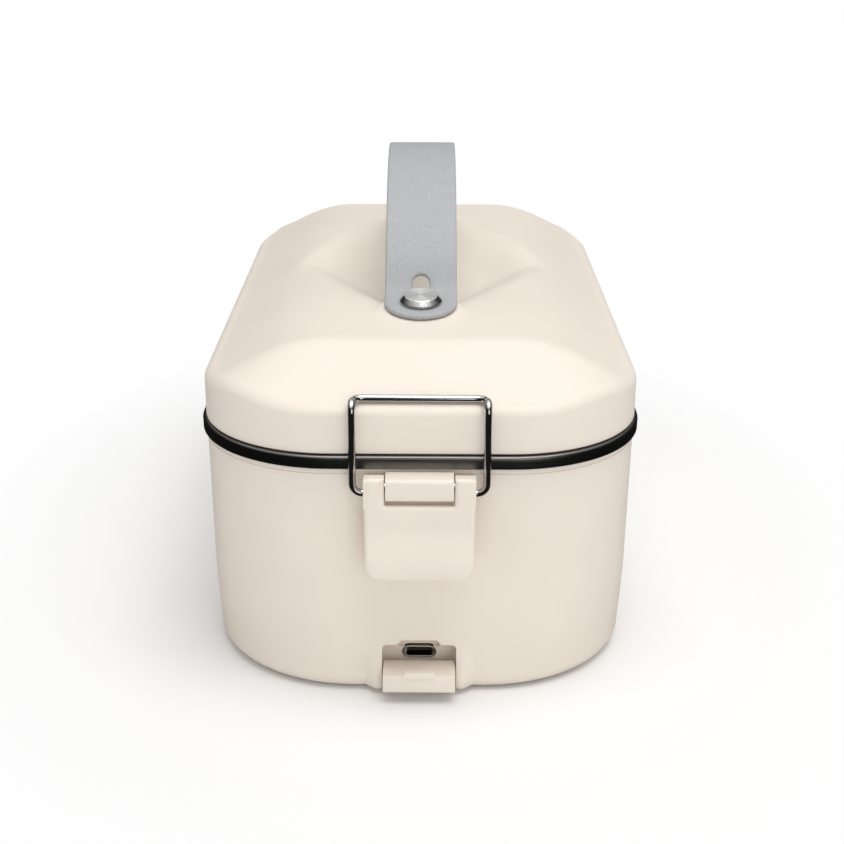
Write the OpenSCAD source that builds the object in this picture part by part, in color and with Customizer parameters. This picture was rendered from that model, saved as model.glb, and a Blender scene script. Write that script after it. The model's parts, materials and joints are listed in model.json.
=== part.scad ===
// Electric lunch box: heated base with a steel food tray, hinged lid, wire latch and carrying strap.
// Front is -Y, +Z is up, and the origin is on the table under the middle of the body.

/* [Body] */
// Width of the steel tray rim, the widest part of the body
rim_w = 124; // [110:1:150]
// Length of the steel tray rim
rim_l = 221.5; // [190:0.5:260]
// Corner radius of the steel tray rim
rim_r = 38; // [28:1:44]
// Height of the base shell, where the tray rim lies on it
base_h = 68; // [60:0.5:90]
// Height of the steel rim band
rim_h = 3.7; // [3:0.1:6]
// How far the base shell lies inside the rim at its top
base_inset = 1.2; // [0.8:0.1:2.5]
// How much narrower the base is on each side at its foot
base_taper = 1; // [0:0.1:3]
// Rounding of the base's bottom edge
foot_round = 4.5; // [2:0.5:7]
// How much larger the corner radius is at the foot
foot_open = 6; // [0:0.5:8]
// Wall of the base shell
wall = 2.4; // [1.8:0.1:3]
// Height of the rubber feet below the shell
foot_h = 0.3; // [0.2:0.1:2]

/* [Lid] */
// How far the lid lies inside the rim
lid_inset = 1; // [0.6:0.1:2]
// Height of the lid's upright wall
lid_wall_h = 13; // [9:0.5:20]
// Rise of the lid's top above its rim
crown_h = 13; // [6:0.5:20]
// Rounding of the lid's rim edge
lid_round = 2.5; // [1:0.1:3]
// Wall of the lid shell
lid_wall = 2.4; // [1.8:0.1:3]
// Distance from the lid's end to the crest of its slope
end_slope = 21.5; // [16:0.5:30]
// Distance from the lid's side to the top of its slope
side_slope = 26; // [18:1:36]
// Depth of the hand scoop under the strap
scoop_d = 8.5; // [3:0.5:10]
// Gap between the lid and the tray rim
seam = 0.3; // [0.2:0.1:0.6]

/* [Strap] */
// Width of the strap
strap_w = 20.8; // [16:0.2:26]
// Thickness of the strap
strap_t = 2.5; // [2:0.1:4]
// Thickness of the strap's ends, under the studs
strap_end_t = 1.4; // [1.2:0.1:2]
// Distance of each strap stud from the middle
stud_y = 63; // [54:1:66]
// Height of the strap's top above the studs' seats
strap_rise = 32.6; // [26:0.1:42]
// Diameter of the stud's head
stud_d = 12; // [9:0.5:14]
// Length of the strap's slots
slot_l = 13.4; // [10:0.2:18]

/* [Latch] */
// Width of the latch lever
lever_w = 29.8; // [24:0.2:36]
// Length of the latch lever below its pivot
lever_l = 24.5; // [21:0.5:26.5]
// Width of the bracket block between the lever's cheeks
block_w = 18; // [14:0.5:20]
// Diameter of the latch wire
wire_d = 2; // [1.6:0.1:2.4]
// Distance between the wire's two sides, centre to centre
bail_w = 35.6; // [33.4:0.2:42]

/* [Port] */
// Width of the charging port's door
door_w = 20; // [17:0.5:24]
// Length of the door from its hinge
door_l = 8.7; // [8:0.1:9.4]
// Thickness of the door
door_t = 5; // [4:0.1:5.2]
// Width of the charging socket's shell
usb_w = 8.94; // [8.5:0.02:9.4]
// Height of the charging socket's shell
usb_h = 3.26; // [3:0.02:3.6]

/* [Power] */
// Diameter of one battery cell
cell_d = 18.2; // [17:0.1:18.6]
// Length of one battery cell
cell_l = 65; // [60:0.5:67]
// Diameter of the power button
button_d = 12; // [8:0.5:14]
// Travel of the power button
button_travel = 0.8; // [0.4:0.1:1.2]

/* [Hidden] */

eps = 0.01;
fit = 0.05;
slip = 0.3;
rim_top = base_h + rim_h;
base_w = rim_w - 2*base_inset;
base_l = rim_l - 2*base_inset;
base_r = rim_r - base_inset;
lid_w = rim_w - 2*lid_inset;
lid_l = rim_l - 2*lid_inset;
lid_r = rim_r - lid_inset;
lid_bottom = rim_top + seam;
lid_rim = lid_bottom + lid_wall_h;
crown_z = lid_rim + crown_h;
front = -rim_l/2;
base_front = -base_l/2;

// The well, the tray in it and what heats it
tray_gap = 1.2;
liner_wall = 1.6;
liner_inset = wall + 1.1;
liner_top = base_h - 2;
well_floor = 27.2;
film_t = 0.5;
plate_t = 1.6;
steel = 0.8;
plate_z = well_floor + liner_wall + film_t;
tray_floor = plate_z + plate_t;
tray_inset = base_inset + liner_inset + liner_wall + tray_gap;
cover_inset = 9;
cover_r = rim_r + foot_open - 6;
cover_t = 2;

// The seat of each strap stud is a low wedge that leans outwards
seat_z = crown_z + 1;
seat_tilt = 8.5;
seat_slope = tan(seat_tilt);
seat_r = strap_w/2 - 1.6;
seat_blend = 3;

// The latch: the lever turns about its pin, and the wire turns in the lever
pin_r = 1.25;
cheek_r = 3.3;
pivot = [base_front - 4.05, base_h - 3.7];
wire_pivot = [base_front - 2.65, base_h - 6];
bend_back = 2.4;
bar_bend = 2.8;
low_bend = 2.7;
bar_z = lid_rim + 0.7 + wire_d/2;
lever_t = 2.6;
bulge = 2.4;
notch_z = pivot[1] - cheek_r - 1.1;

// The charging door lies open on its hinge at the foot of the front
hinge_y = base_front + base_taper + 1.55;
door_axis = [hinge_y, 5.2];
door_back = 1.4;
door_face = 1.4;
ridge_h = 1.1;
screw_head_t = 0.7;
door_top = door_axis[1] + door_t - door_face;
pocket_top = door_axis[1] + door_l + 0.9;
usb_z = door_axis[1] + door_t - door_face + 0.85;
usb_y = hinge_y + door_t - door_face + slip;
usb_l = 7.3;
board_y0 = usb_y + 2.4;
board_l = 30;
board_w = 56;
probe_x = 18;
probe_y = board_y0 + board_l + 1;
lead_x = 13;
lead_y = board_y0 + board_l - 1.2;
board_t = 1.6;
board_z = usb_z - usb_h/2 - board_t;

// The lid's hinge is behind the rim
knuckle_r = 3.5;
hinge_r = 1.5;
lid_axis = [rim_l/2 + knuckle_r + 2.2, base_h + 2];
knuckle_w = 28;
ear_w = 10;

button_y = -60;
button_z = 16;
side_x = base_w/2 - base_taper*(base_h - button_z)/base_h;

// Rounded rectangle w by l with corner radius r
module pill(w, l, r) {
    hull() for (x = [-1, 1], y = [-1, 1])
        translate([x*(w/2 - r), y*(l/2 - r)]) circle(r = r, $fn = 64);
}

// Upright block with rounded corners, built from exact pieces
module tub(w, l, r, z, h) {
    translate([0, 0, z]) linear_extrude(h) {
        square([w - 2*r, l], center = true);
        square([w, l - 2*r], center = true);
        for (x = [-1, 1], y = [-1, 1])
            translate([x*(w/2 - r), y*(l/2 - r)]) circle(r = r, $fn = 64);
    }
}

// The base's outside, drawn in by `inset` all round, from z0 to z1
open_z = 24;
module base_body(inset, z0, z1) {
    foot = max(foot_round - inset, 0.5);
    hull() {
        for (k = [0 : 3]) {
            shrink = base_taper + inset + foot - foot*sin(30*k);
            translate([0, 0, z0 + foot - foot*cos(30*k)])
                linear_extrude(eps)
                    pill(base_w - 2*shrink, base_l - 2*shrink, base_r + foot_open - shrink);
        }
        for (z = [open_z, z1 - eps]) {
            shrink = inset + base_taper*(z1 - z)/z1;
            translate([0, 0, z]) linear_extrude(eps)
                pill(base_w - 2*shrink, base_l - 2*shrink, base_r - shrink);
        }
    }
}

// Cylinder along X between x0 and x1, at p = [y, z]
module rod(p, r, x0, x1) {
    translate([x0, p[0], p[1]]) rotate([0, 90, 0]) cylinder(r = r, h = x1 - x0, $fn = 48);
}

// Half the width of a rounded rectangle at the distance y from its middle
function half_w(y, w, l, r) =
    abs(y) <= l/2 - r ? w/2 : w/2 - r + sqrt(max(0, r*r - pow(abs(y) - l/2 + r, 2)));
// Distance inwards from the outline of a rounded rectangle
function inward(x, y, w, l, r) =
    let (a = abs(x) - w/2 + r, b = abs(y) - l/2 + r)
    r - norm([max(a, 0), max(b, 0)]) - min(max(a, b), 0);
function ease(t) = let (u = min(1, max(0, t))) u*u*(3 - 2*u);
// From 0 to 1 in a straight line, with a short round foot and a round crest of half length k
function ramp(t, k) =
    t <= -0.1 ? 0 :
    t < 0.1 ? pow(t + 0.1, 2)/0.4 :
    t <= 1 - k ? t :
    t >= 1 + k ? 1 : t - pow(t - 1 + k, 2)/(4*k);
// Hand scoop: a bowl with a diamond outline and straight flanks
scoop_x = 42;
scoop_y = stud_y + 7;
function scoop(x, y) =
    let (bowl = pow(pow(abs(x)/scoop_x, 1.25) + pow(abs(y)/scoop_y, 1.25), 1/1.25))
    scoop_d*ease(1.9*(1 - bowl));
// Height of the lid's outside: a flat roof with four sloping sides
crest_k = 0.15;
side_k = 0.4;
function lid_z(x, y) =
    let (d = inward(x, y, lid_w, lid_l, lid_r),
         edge = d < lid_round ? lid_round - sqrt(max(0, pow(lid_round, 2) - pow(lid_round - d, 2))) : 0,
         ends = (lid_l/2 - abs(y) - lid_round)/(end_slope - lid_round),
         sides = (lid_w/2 - abs(x) - lid_round)/(side_slope - lid_round),
         roof = crown_h - ease((abs(y) - 50)/38),
         rise = roof*ramp(sides, side_k)*ramp(ends, crest_k),
         top = lid_rim - edge + rise - scoop(x, y)*ease(sides*1.2),
         near = norm([max(0, abs(x) - 2), abs(abs(y) - stud_y)]),
         seat = ease((seat_r + seat_blend - near)/seat_blend))
    top + (seat_z - (abs(y) - stud_y)*seat_slope - top)*seat;

// Solid under a lid surface lowered by `drop`, drawn in by `inset`, down to z0
module lid_body(inset, drop, z0, rows, cols) {
    w = lid_w - 2*inset;
    l = lid_l - 2*inset;
    r = lid_r - inset;
    grid = [for (i = [0 : rows], j = [0 : cols])
        let (y = l/2*sin(180*i/rows - 90), x = half_w(y, w, l, r)*sin(180*j/cols - 90))
        [x, y, max(z0 + 1, lid_z(x*(lid_w/2)/(w/2), y*lid_l/l) - drop)]];
    under = [for (p = grid) [p[0], p[1], z0]];
    n = cols + 1;
    m = len(grid);
    edge = concat([for (j = [0 : cols]) j],
        [for (i = [1 : rows]) i*n + cols],
        [for (j = [cols - 1 : -1 : 0]) rows*n + j],
        [for (i = [rows - 1 : -1 : 1]) i*n]);
    quads = [for (i = [0 : rows - 1], j = [0 : cols - 1]) let (a = i*n + j) [a, a + 1, a + n + 1, a + n]];
    top = [for (q = quads, k = [0, 1]) k == 0 ? [q[2], q[1], q[0]] : [q[0], q[3], q[2]]];
    bottom = [for (q = quads, k = [0, 1]) k == 0
        ? [q[0] + m, q[1] + m, q[2] + m] : [q[2] + m, q[3] + m, q[0] + m]];
    side = [for (k = [0 : len(edge) - 1], h = [0, 1]) let (a = edge[k], b = edge[(k + 1) % len(edge)])
        h == 0 ? [b, b + m, a + m] : [b, a + m, a]];
    polyhedron(concat(grid, under), concat(top, bottom, side), convexity = 8);
}

module base_shell() {
    color("linen") difference() {
        union() {
            base_body(0, foot_h, base_h);
            for (s = [-1, 1]) hull() {
                translate([s*(door_w/2 + 2.1), door_axis[0] + 1, door_axis[1] - 0.6])
                    cube([3.4, 5, 5.2], center = true);
                translate([s*(door_w/2 + 3.4), door_axis[0] + 3, door_axis[1] + 5])
                    cube([5.6, 2, 6], center = true);
            }
        }
        difference() {
            base_body(wall, foot_h + wall, base_h + 1);
            port_wall(slip);
        }
        tub(rim_w - 2*cover_inset, rim_l - 2*cover_inset, cover_r, 0, foot_h + wall + 1);
        door_pocket();
        usb_mouth();
        ridge_recess();
        rod(door_axis, 0.8, -door_w/2 - 3, door_w/2 + 3);
        translate([side_x - wall - 2, button_y, button_z]) rotate([0, 90, 0])
            cylinder(d = button_d + 2*slip, h = wall + 6, $fn = 48);
        for (x = [-6, 6]) translate([x, base_front - 1, base_h - 8]) rotate([-90, 0, 0])
            cylinder(r = 1.3, h = wall + 2.4, $fn = 24);
        for (x = [-9, 9]) translate([x, base_l/2 + 1, base_h - 11]) rotate([90, 0, 0])
            cylinder(r = 1.3, h = wall + 2.4, $fn = 24);
    }
}

// Wall behind the charging pocket, part of the shell
module port_wall(gap) {
    translate([-door_w/2 - 2.4, base_front, foot_h]) cube([door_w + 4.8, usb_y + 2 - base_front, pocket_top + 2]);
}

// Pocket that the door closes, and the room it turns in
module door_pocket() {
    translate([-door_w/2 - slip, base_front - 9, door_axis[1] - door_back - 1.2])
        cube([door_w + 2*slip, usb_y - base_front + 9, pocket_top - door_axis[1] + door_back + 1.2]);
    translate([-5.6, base_front - 9, pocket_top - 1]) cube([11.2, usb_y - base_front + 9, 2.2]);
    translate([-door_w/2 - slip, base_front - 9, foot_h - 1]) cube([door_w + 2*slip, 9 + 5.4, 4]);
}

module usb_mouth() {
    gap = 0.3;
    h = usb_h + 2*gap;
    w = usb_w + 2*gap;
    translate([0, usb_y - 3, usb_z]) rotate([-90, 0, 0]) {
        translate([-(w - h)/2, -h/2, 0]) cube([w - h, h, 8]);
        for (s = [-1, 1]) translate([s*(w - h)/2, 0, 0]) cylinder(d = h, h = 8, $fn = 32);
    }
}

// Recess in the wall that takes the closed door's finger ridge
module ridge_recess() {
    translate([-5.6, usb_y - 1, door_axis[1] + door_l - 2.6]) cube([11.2, 1 + ridge_h + slip/2, 3.2]);
}

// Middles of the four posts between the well and the bottom cover
function rear_post_y() = max(rim_l/2 - 22, cell_y0 - 5 + holder_l + 4);
function posts() = [[-board_w/2 - 4.5, 22 - rim_l/2], [board_w/2 + 4.5, 22 - rim_l/2],
    [-20, rear_post_y()], [20, rear_post_y()]];
pad_x = rim_w/2 - 27;
pad_y = rim_l/2 - 32;
pad_depth = 0.6;

module bottom_cover() {
    color("linen") difference() {
        tub(rim_w - 2*cover_inset - 2*slip, rim_l - 2*cover_inset - 2*slip,
            cover_r - slip, foot_h, cover_t);
        translate([0, door_axis[0] + 2, foot_h + 1]) cube([door_w + 6, 9, 6], center = true);
        for (p = posts()) translate([p[0], p[1], 0]) {
            cylinder(r = 1.5, h = 10, $fn = 24);
            translate([0, 0, foot_h - eps]) cylinder(r = 2.8, h = 0.9, $fn = 24);
        }
        for (x = [-1, 1], y = [-1, 1]) translate([x*pad_x, y*pad_y, 0])
            cylinder(r = 5 + fit, h = foot_h + pad_depth, $fn = 48);
    }
}

module rubber_feet() {
    color("dimgray") for (x = [-1, 1], y = [-1, 1])
        translate([x*pad_x, y*pad_y, 0]) cylinder(r = 5, h = foot_h + pad_depth - 0.05, $fn = 48);
}

module cover_screws() {
    color("silver") for (p = posts()) translate([p[0], p[1], foot_h]) {
        translate([0, 0, 0.1]) cylinder(r = 2.5, h = 0.7, $fn = 32);
        cylinder(r = 1.25, h = 9, $fn = 32);
    }
}

module well_liner() {
    color("gainsboro") difference() {
        union() {
            tub(base_w - 2*liner_inset, base_l - 2*liner_inset, base_r - liner_inset,
                well_floor, liner_top - well_floor);
            for (p = posts()) translate([p[0], p[1], foot_h + cover_t])
                cylinder(r = 3.4, h = well_floor - foot_h - cover_t + eps, $fn = 32);
        }
        tub(base_w - 2*liner_inset - 2*liner_wall, base_l - 2*liner_inset - 2*liner_wall,
            base_r - liner_inset - liner_wall, well_floor + liner_wall, base_h);
        for (p = posts()) translate([p[0], p[1], 0])
            cylinder(r = 1.25, h = foot_h + 9, $fn = 32);
    }
}

module heater_plate() {
    color("silver") tub(rim_w - 2*tray_inset - 10, rim_l - 2*tray_inset - 10, 26, plate_z, plate_t - 0.1);
}

module heating_film() {
    color("peru") tub(rim_w - 2*tray_inset - 16, rim_l - 2*tray_inset - 16, 22, plate_z - film_t, film_t);
}

module insulation_pad() {
    color("whitesmoke") difference() {
        tub(rim_w - 2*tray_inset - 8, rim_l - 2*tray_inset - 8, 26, well_floor - 3, 3 - eps);
        for (p = posts()) translate([p[0], p[1], 0])
            cylinder(r = 3.8, h = 40, $fn = 32);
        for (s = [-1, 1]) translate([s*probe_x, probe_y, 0]) cylinder(r = 4, h = 40, $fn = 32);
    }
}

module temperature_sensor() {
    color("saddlebrown") translate([probe_x, probe_y, well_floor - 2.4]) {
        cylinder(r = 2.4, h = 2.4 - eps, $fn = 32);
        translate([0, 0, -1.4]) cylinder(r = 1, h = 1.4 + eps, $fn = 24);
    }
}

module thermal_fuse() {
    color("khaki") translate([-probe_x, probe_y, well_floor - 1.6]) rotate([0, 90, 0])
        cylinder(r = 1.5, h = 7, center = true, $fn = 32);
}

cells_x = 4;
cell_gap = 0.8;
holder_t = 1;
cell_z = foot_h + cover_t + holder_t + cell_d/2;
holder_w = cells_x*(cell_d + cell_gap) + 3;
holder_l = 2*cell_l + 12;
board_end = board_y0 + board_l;
cell_y0 = board_end + 5 + 0.8;
function cell_x(i) = (i - (cells_x - 1)/2)*(cell_d + cell_gap);
function cell_y(j) = cell_y0 + j*(cell_l + 4);

module battery_cells() {
    color("seagreen") for (i = [0 : cells_x - 1], j = [0, 1])
        translate([cell_x(i), cell_y(j), cell_z]) rotate([-90, 0, 0])
            cylinder(d = cell_d, h = cell_l, $fn = 48);
}

module battery_holder() {
    color("dimgray") difference() {
        translate([-holder_w/2, cell_y0 - 5, foot_h + cover_t])
            cube([holder_w, holder_l, holder_t + cell_d*0.45]);
        for (i = [0 : cells_x - 1]) translate([cell_x(i), cell_y0 - 1, cell_z]) rotate([-90, 0, 0])
            cylinder(d = cell_d + 0.1, h = 2*cell_l + 6, $fn = 48);
        translate([-holder_w/2 + 2, cell_y0 - 1.01, cell_z - 4])
            cube([holder_w - 4, 2*cell_l + 6, 30]);
    }
}

module cell_tabs() {
    color("silver") for (j = [0, 1], e = [0, 1])
        translate([cell_x(0) - 4, cell_y(j) + (e == 0 ? -0.3 : cell_l), cell_z - 3])
            cube([cell_x(cells_x - 1) - cell_x(0) + 8, 0.3, 6]);
}

module main_board() {
    color("darkgreen") difference() {
        translate([-board_w/2, board_y0, board_z]) cube([board_w, board_l, board_t]);
        for (x = [-1, 1]) translate([x*(board_w/2 - 5), board_y0 + board_l - 5, 0])
            cylinder(r = 1.5, h = 40, $fn = 24);
    }
}

module board_parts() {
    z = board_z + board_t;
    color("black") {
        translate([-21, board_y0 + 6, z]) cube([7, 7, 1]);
        translate([-10, board_y0 + 14, z]) cube([10, 10, 4.2]);
        translate([8, board_y0 + 15, z]) cube([5, 6, 1.2]);
        translate([18, board_y0 + 8, z]) cylinder(r = 3, h = 7, $fn = 32);
        translate([19, board_y0 + 18, z]) cube([7, 8, 5]);
    }
}

module stadium(w, h, y0, l) {
    translate([0, y0, usb_z]) rotate([-90, 0, 0]) {
        translate([-(w - h)/2, -h/2, 0]) cube([w - h, h, l]);
        for (s = [-1, 1]) translate([s*(w - h)/2, 0, 0]) cylinder(d = h, h = l, $fn = 32);
    }
}

module usb_shell() {
    skin = 0.3;
    color("silver") difference() {
        stadium(usb_w, usb_h, usb_y + 0.6, usb_l);
        stadium(usb_w - 2*skin, usb_h - 2*skin, usb_y, usb_l);
    }
}

module usb_tongue() {
    color("black") translate([-3.3, usb_y + 1.6, usb_z - 0.35]) cube([6.6, usb_l - 1.7, 0.7]);
}

module heater_wires() {
    z = board_z + board_t;
    color("firebrick") for (x = [-lead_x, lead_x]) translate([x, lead_y, z]) {
        cylinder(r = 0.8, h = well_floor - 3.4 - z, $fn = 16);
        translate([0, 0, 1]) rotate([90, 0, 0]) cylinder(r = 0.8, h = 2.4, $fn = 16);
    }
}

module power_button() {
    color("whitesmoke") translate([side_x - wall - 1.6, button_y, button_z]) rotate([0, 90, 0]) {
        cylinder(d = button_d, h = wall + 2.3, $fn = 64);
        translate([0, 0, -0.5]) cylinder(d = button_d + 2.4, h = 1.2, $fn = 64);
    }
}

switch_x = side_x - wall - 2.1 - button_travel - 0.4;

module button_switch() {
    color("black") translate([switch_x - 2.6, button_y - 3, button_z - 3]) {
        cube([2.2, 6, 6]);
        translate([2.2, 3, 3]) rotate([0, 90, 0]) cylinder(r = 1.6, h = 0.4, $fn = 32);
    }
}

module button_board() {
    color("darkgreen") difference() {
        translate([switch_x - 4.2, button_y - 11, button_z - 7]) cube([1.6, 22, 14]);
        for (s = [-1, 1]) translate([switch_x - 5, button_y + s*8.5, button_z]) rotate([0, 90, 0])
            cylinder(r = 1.1, h = 4, $fn = 24);
    }
}

module food_tray() {
    w = rim_w - 2*tray_inset;
    l = rim_l - 2*tray_inset;
    r = rim_r - tray_inset;
    color("silver") {
        difference() {
            tub(w, l, r, tray_floor, rim_top - tray_floor);
            tub(w - 2*steel, l - 2*steel, r - steel, tray_floor + steel, rim_top);
        }
        difference() {
            tub(rim_w, rim_l, rim_r, base_h, rim_h);
            tub(w - eps, l - eps, r, base_h - 1, rim_h + 2);
            difference() {
                tub(rim_w - 2*steel, rim_l - 2*steel, rim_r - steel, base_h - 1, rim_h + 1 - steel);
                tub(w - 2*eps, l - 2*eps, r, base_h - 2, rim_h + 4);
            }
        }
    }
}

module tray_gasket() {
    color("gray") difference() {
        tub(base_w - 2*wall - 1, base_l - 2*wall - 1, base_r - wall - 0.5, liner_top,
            base_h - liner_top + rim_h - steel - eps);
        tub(rim_w - 2*tray_inset + 2, rim_l - 2*tray_inset + 2, rim_r - tray_inset + 1, liner_top - 1, 20);
    }
}

module latch_bracket() {
    color("linen") difference() {
        union() {
            rod(pivot, cheek_r, -block_w/2, block_w/2);
            translate([-block_w/2, pivot[0] - cheek_r, pivot[1]]) cube([block_w, 2*cheek_r - 0.6, cheek_r - 0.2]);
            translate([-block_w/2, pivot[0], pivot[1] - 6]) cube([block_w, base_front - pivot[0], 7.2]);
        }
        rod(pivot, pin_r, -block_w, block_w);
        translate([-block_w, front - 0.3, base_h - slip]) cube([2*block_w, 5, 8]);
        for (x = [-6, 6]) translate([x, base_front - 3, base_h - 8]) rotate([-90, 0, 0])
            cylinder(r = 1.25, h = 6, $fn = 24);
    }
}

module bracket_screws() {
    color("silver") for (x = [-6, 6]) translate([x, base_front + wall + slip, base_h - 8]) rotate([90, 0, 0]) {
        cylinder(r = 1.2, h = wall + 3, $fn = 24);
        translate([0, 0, -screw_head_t]) cylinder(r = 2.2, h = screw_head_t, $fn = 24);
    }
}

module lever_pin() {
    color("silver") rod(pivot, pin_r, -lever_w/2 + 1.2, lever_w/2 - 1.2);
}

// The lever's side outline in the YZ plane: a flat plate that kicks out at its tip
function kick(t) = bulge*ease((t - 0.42)/0.5);
module lever_outline() {
    y0 = pivot[0] - cheek_r;
    z1 = pivot[1];
    steps = 14;
    polygon(concat(
        [for (k = [0 : steps]) let (t = k/steps) [y0 - kick(t), z1 - lever_l*t]],
        [for (k = [steps : -1 : 0]) let (t = k/steps) [y0 + lever_t - kick(t), z1 - (lever_l - 0.6)*t]]));
}

module latch_lever() {
    cheek = (lever_w - block_w)/2 - slip;
    color("linen") difference() {
        union() {
            translate([-lever_w/2, 0, 0]) rotate([90, 0, 90]) linear_extrude(lever_w) lever_outline();
            for (s = [-1, 1]) {
                x0 = s > 0 ? lever_w/2 - cheek : -lever_w/2;
                rod(pivot, cheek_r, x0, x0 + cheek);
                rod(wire_pivot, wire_d/2 + 1, x0, x0 + cheek);
                translate([x0, pivot[0] - cheek_r, wire_pivot[1] - wire_d/2 - 1])
                    cube([cheek, wire_pivot[0] - pivot[0] + cheek_r, pivot[1] - wire_pivot[1] + wire_d/2 + 1]);
            }
        }
        translate([-block_w/2 - slip, pivot[0] - 10, notch_z]) cube([block_w + 2*slip, 20, 20]);
        rod(pivot, pin_r + fit, -lever_w/2 + 0.9, lever_w/2 - 0.9);
        for (s = [-1, 1]) {
            x0 = s > 0 ? lever_w/2 - 4 : -lever_w/2 - 1;
            rod(wire_pivot, wire_d/2 + fit, x0, x0 + 5);
        }
    }
}

// One quarter bend of wire in its own XY plane, from +X to +Y
module wire_bend(r) {
    rotate_extrude(angle = 90, $fn = 64) translate([r, 0]) circle(d = wire_d, $fn = 32);
}

module bail_wire() {
    x = bail_w/2;
    top = bar_z - bend_back;
    yb = wire_pivot[0] + bend_back;
    color("dimgray") {
        for (s = [0, 1]) mirror([s, 0, 0]) {
            rod(wire_pivot, wire_d/2, lever_w/2 - 3.8, x - low_bend + eps);
            translate([x - low_bend, wire_pivot[0], wire_pivot[1] + low_bend])
                rotate([90, 0, 0]) rotate([0, 0, -90]) wire_bend(low_bend);
            translate([x, wire_pivot[0], wire_pivot[1] + low_bend - eps])
                cylinder(d = wire_d, h = top - wire_pivot[1] - low_bend + 2*eps, $fn = 32);
            translate([x, yb, top]) rotate([90, 0, -90]) wire_bend(bend_back);
            translate([x - bar_bend, yb - eps, bar_z]) wire_bend(bar_bend);
        }
        rod([yb + bar_bend, bar_z], wire_d/2, -x + bar_bend - eps, x - bar_bend + eps);
    }
}

module port_door() {
    color("linen") difference() {
        union() {
            translate([-door_w/2, door_axis[0] - door_l, door_axis[1] - door_face])
                cube([door_w, door_l, door_t]);
            translate([-door_w/2, door_axis[0] - eps, door_axis[1]])
                cube([door_w, 0.7, door_t - door_face]);
            rod(door_axis, door_back, -door_w/2, door_w/2);
            translate([0, door_axis[0] - door_l - 0.3, door_top]) rotate([-90, 0, 0]) linear_extrude(2.6)
                polygon([[-5, 0.8], [-4, -ridge_h], [4, -ridge_h], [5, 0.8]]);
        }
        rod(door_axis, 0.8 + fit, -door_w, door_w);
    }
}

module door_pin() {
    color("silver") rod(door_axis, 0.8, -door_w/2 - 2.8, door_w/2 + 2.8);
}

module base_hinge() {
    y0 = base_l/2;
    color("linen") difference() {
        union() {
            rod(lid_axis, knuckle_r, -knuckle_w/2, knuckle_w/2);
            translate([-knuckle_w/2, lid_axis[0] - knuckle_r + 0.6, base_h - 15])
                cube([knuckle_w, knuckle_r + 1.4, lid_axis[1] - base_h + 15]);
            translate([-knuckle_w/2, y0, base_h - 15]) cube([knuckle_w, lid_axis[0] - y0, 13]);
        }
        rod(lid_axis, hinge_r, -knuckle_w, knuckle_w);
        for (x = [-9, 9]) translate([x, y0 + 5, base_h - 11]) rotate([90, 0, 0])
            cylinder(r = 1.25, h = 6, $fn = 24);
    }
}

module hinge_pin() {
    color("silver") rod(lid_axis, hinge_r, -knuckle_w/2 - ear_w - 0.2, knuckle_w/2 + ear_w + 0.2);
}

module hinge_screws() {
    color("silver") for (x = [-9, 9]) translate([x, base_l/2 - wall - slip, base_h - 11]) rotate([-90, 0, 0]) {
        cylinder(r = 1.2, h = wall + 4, $fn = 24);
        translate([0, 0, -screw_head_t]) cylinder(r = 2.2, h = screw_head_t, $fn = 24);
    }
}

liner_z = lid_bottom + 3.4;
plate_h = 2;
lid_post_x = 30;
lid_post_y = 74;

module lid_shell() {
    color("linen") {
        difference() {
            lid_body(0, 0, lid_bottom, 44, 28);
            lid_body(lid_wall, lid_wall, lid_bottom - 2, 30, 20);
            for (s = [-1, 1]) at_seat(s) translate([0, 0, -12]) cylinder(r = 2.4, h = 24, $fn = 32);
        }
        for (x = [-1, 1], y = [-1, 1]) translate([x*lid_post_x, y*lid_post_y, liner_z + plate_h])
            difference() {
                cylinder(r = 3.2, h = lid_z(lid_post_x, lid_post_y) - lid_wall - liner_z - plate_h + 0.6, $fn = 32);
                translate([0, 0, -1]) cylinder(r = 1.25, h = 8, $fn = 32);
            }
        for (s = [-1, 1]) {
            x0 = s > 0 ? knuckle_w/2 + slip : -knuckle_w/2 - slip - ear_w;
            difference() {
                union() {
                    rod(lid_axis, knuckle_r, x0, x0 + ear_w);
                    translate([x0, lid_l/2 - 1, lid_bottom + 3.2]) cube([ear_w, lid_axis[0] - lid_l/2 + 1 + knuckle_r, 6]);
                    translate([x0, lid_axis[0] - knuckle_r + 0.3, lid_axis[1]])
                        cube([ear_w, 2*knuckle_r - 0.3, lid_bottom + 3.3 - lid_axis[1]]);
                }
                rod(lid_axis, hinge_r + fit, x0 - 1, x0 + ear_w + 1);
            }
        }
    }
}

module lid_liner() {
    skirt = tray_inset + steel + 1.6;
    color("whitesmoke") difference() {
        union() {
            tub(lid_w - 2*lid_wall - 0.8, lid_l - 2*lid_wall - 0.8, lid_r - lid_wall - 0.4, liner_z, plate_h);
            tub(rim_w - 2*skirt, rim_l - 2*skirt, rim_r - skirt, base_h, liner_z - base_h + eps);
        }
        tub(rim_w - 2*skirt - 3, rim_l - 2*skirt - 3, rim_r - skirt - 1.5, base_h - 1, liner_z - base_h + 1);
        for (x = [-1, 1], y = [-1, 1]) translate([x*lid_post_x, y*lid_post_y, 0])
            cylinder(r = 1.5, h = 200, $fn = 24);
    }
}

module lid_seal() {
    inner = tray_inset + steel + 1.6;
    color("lightgray") difference() {
        tub(rim_w - 2*inner + 12, rim_l - 2*inner + 12, rim_r - inner + 6, lid_bottom, liner_z - lid_bottom);
        tub(rim_w - 2*inner + 0.2, rim_l - 2*inner + 0.2, rim_r - inner + 0.1, lid_bottom - 1, 10);
    }
}

module lid_screws() {
    color("silver") for (x = [-1, 1], y = [-1, 1]) translate([x*lid_post_x, y*lid_post_y, liner_z]) {
        translate([0, 0, -1]) cylinder(r = 2.6, h = 1, $fn = 32);
        cylinder(r = 1.25, h = 7, $fn = 32);
    }
}

strap_z = seat_z + slip;

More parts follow.
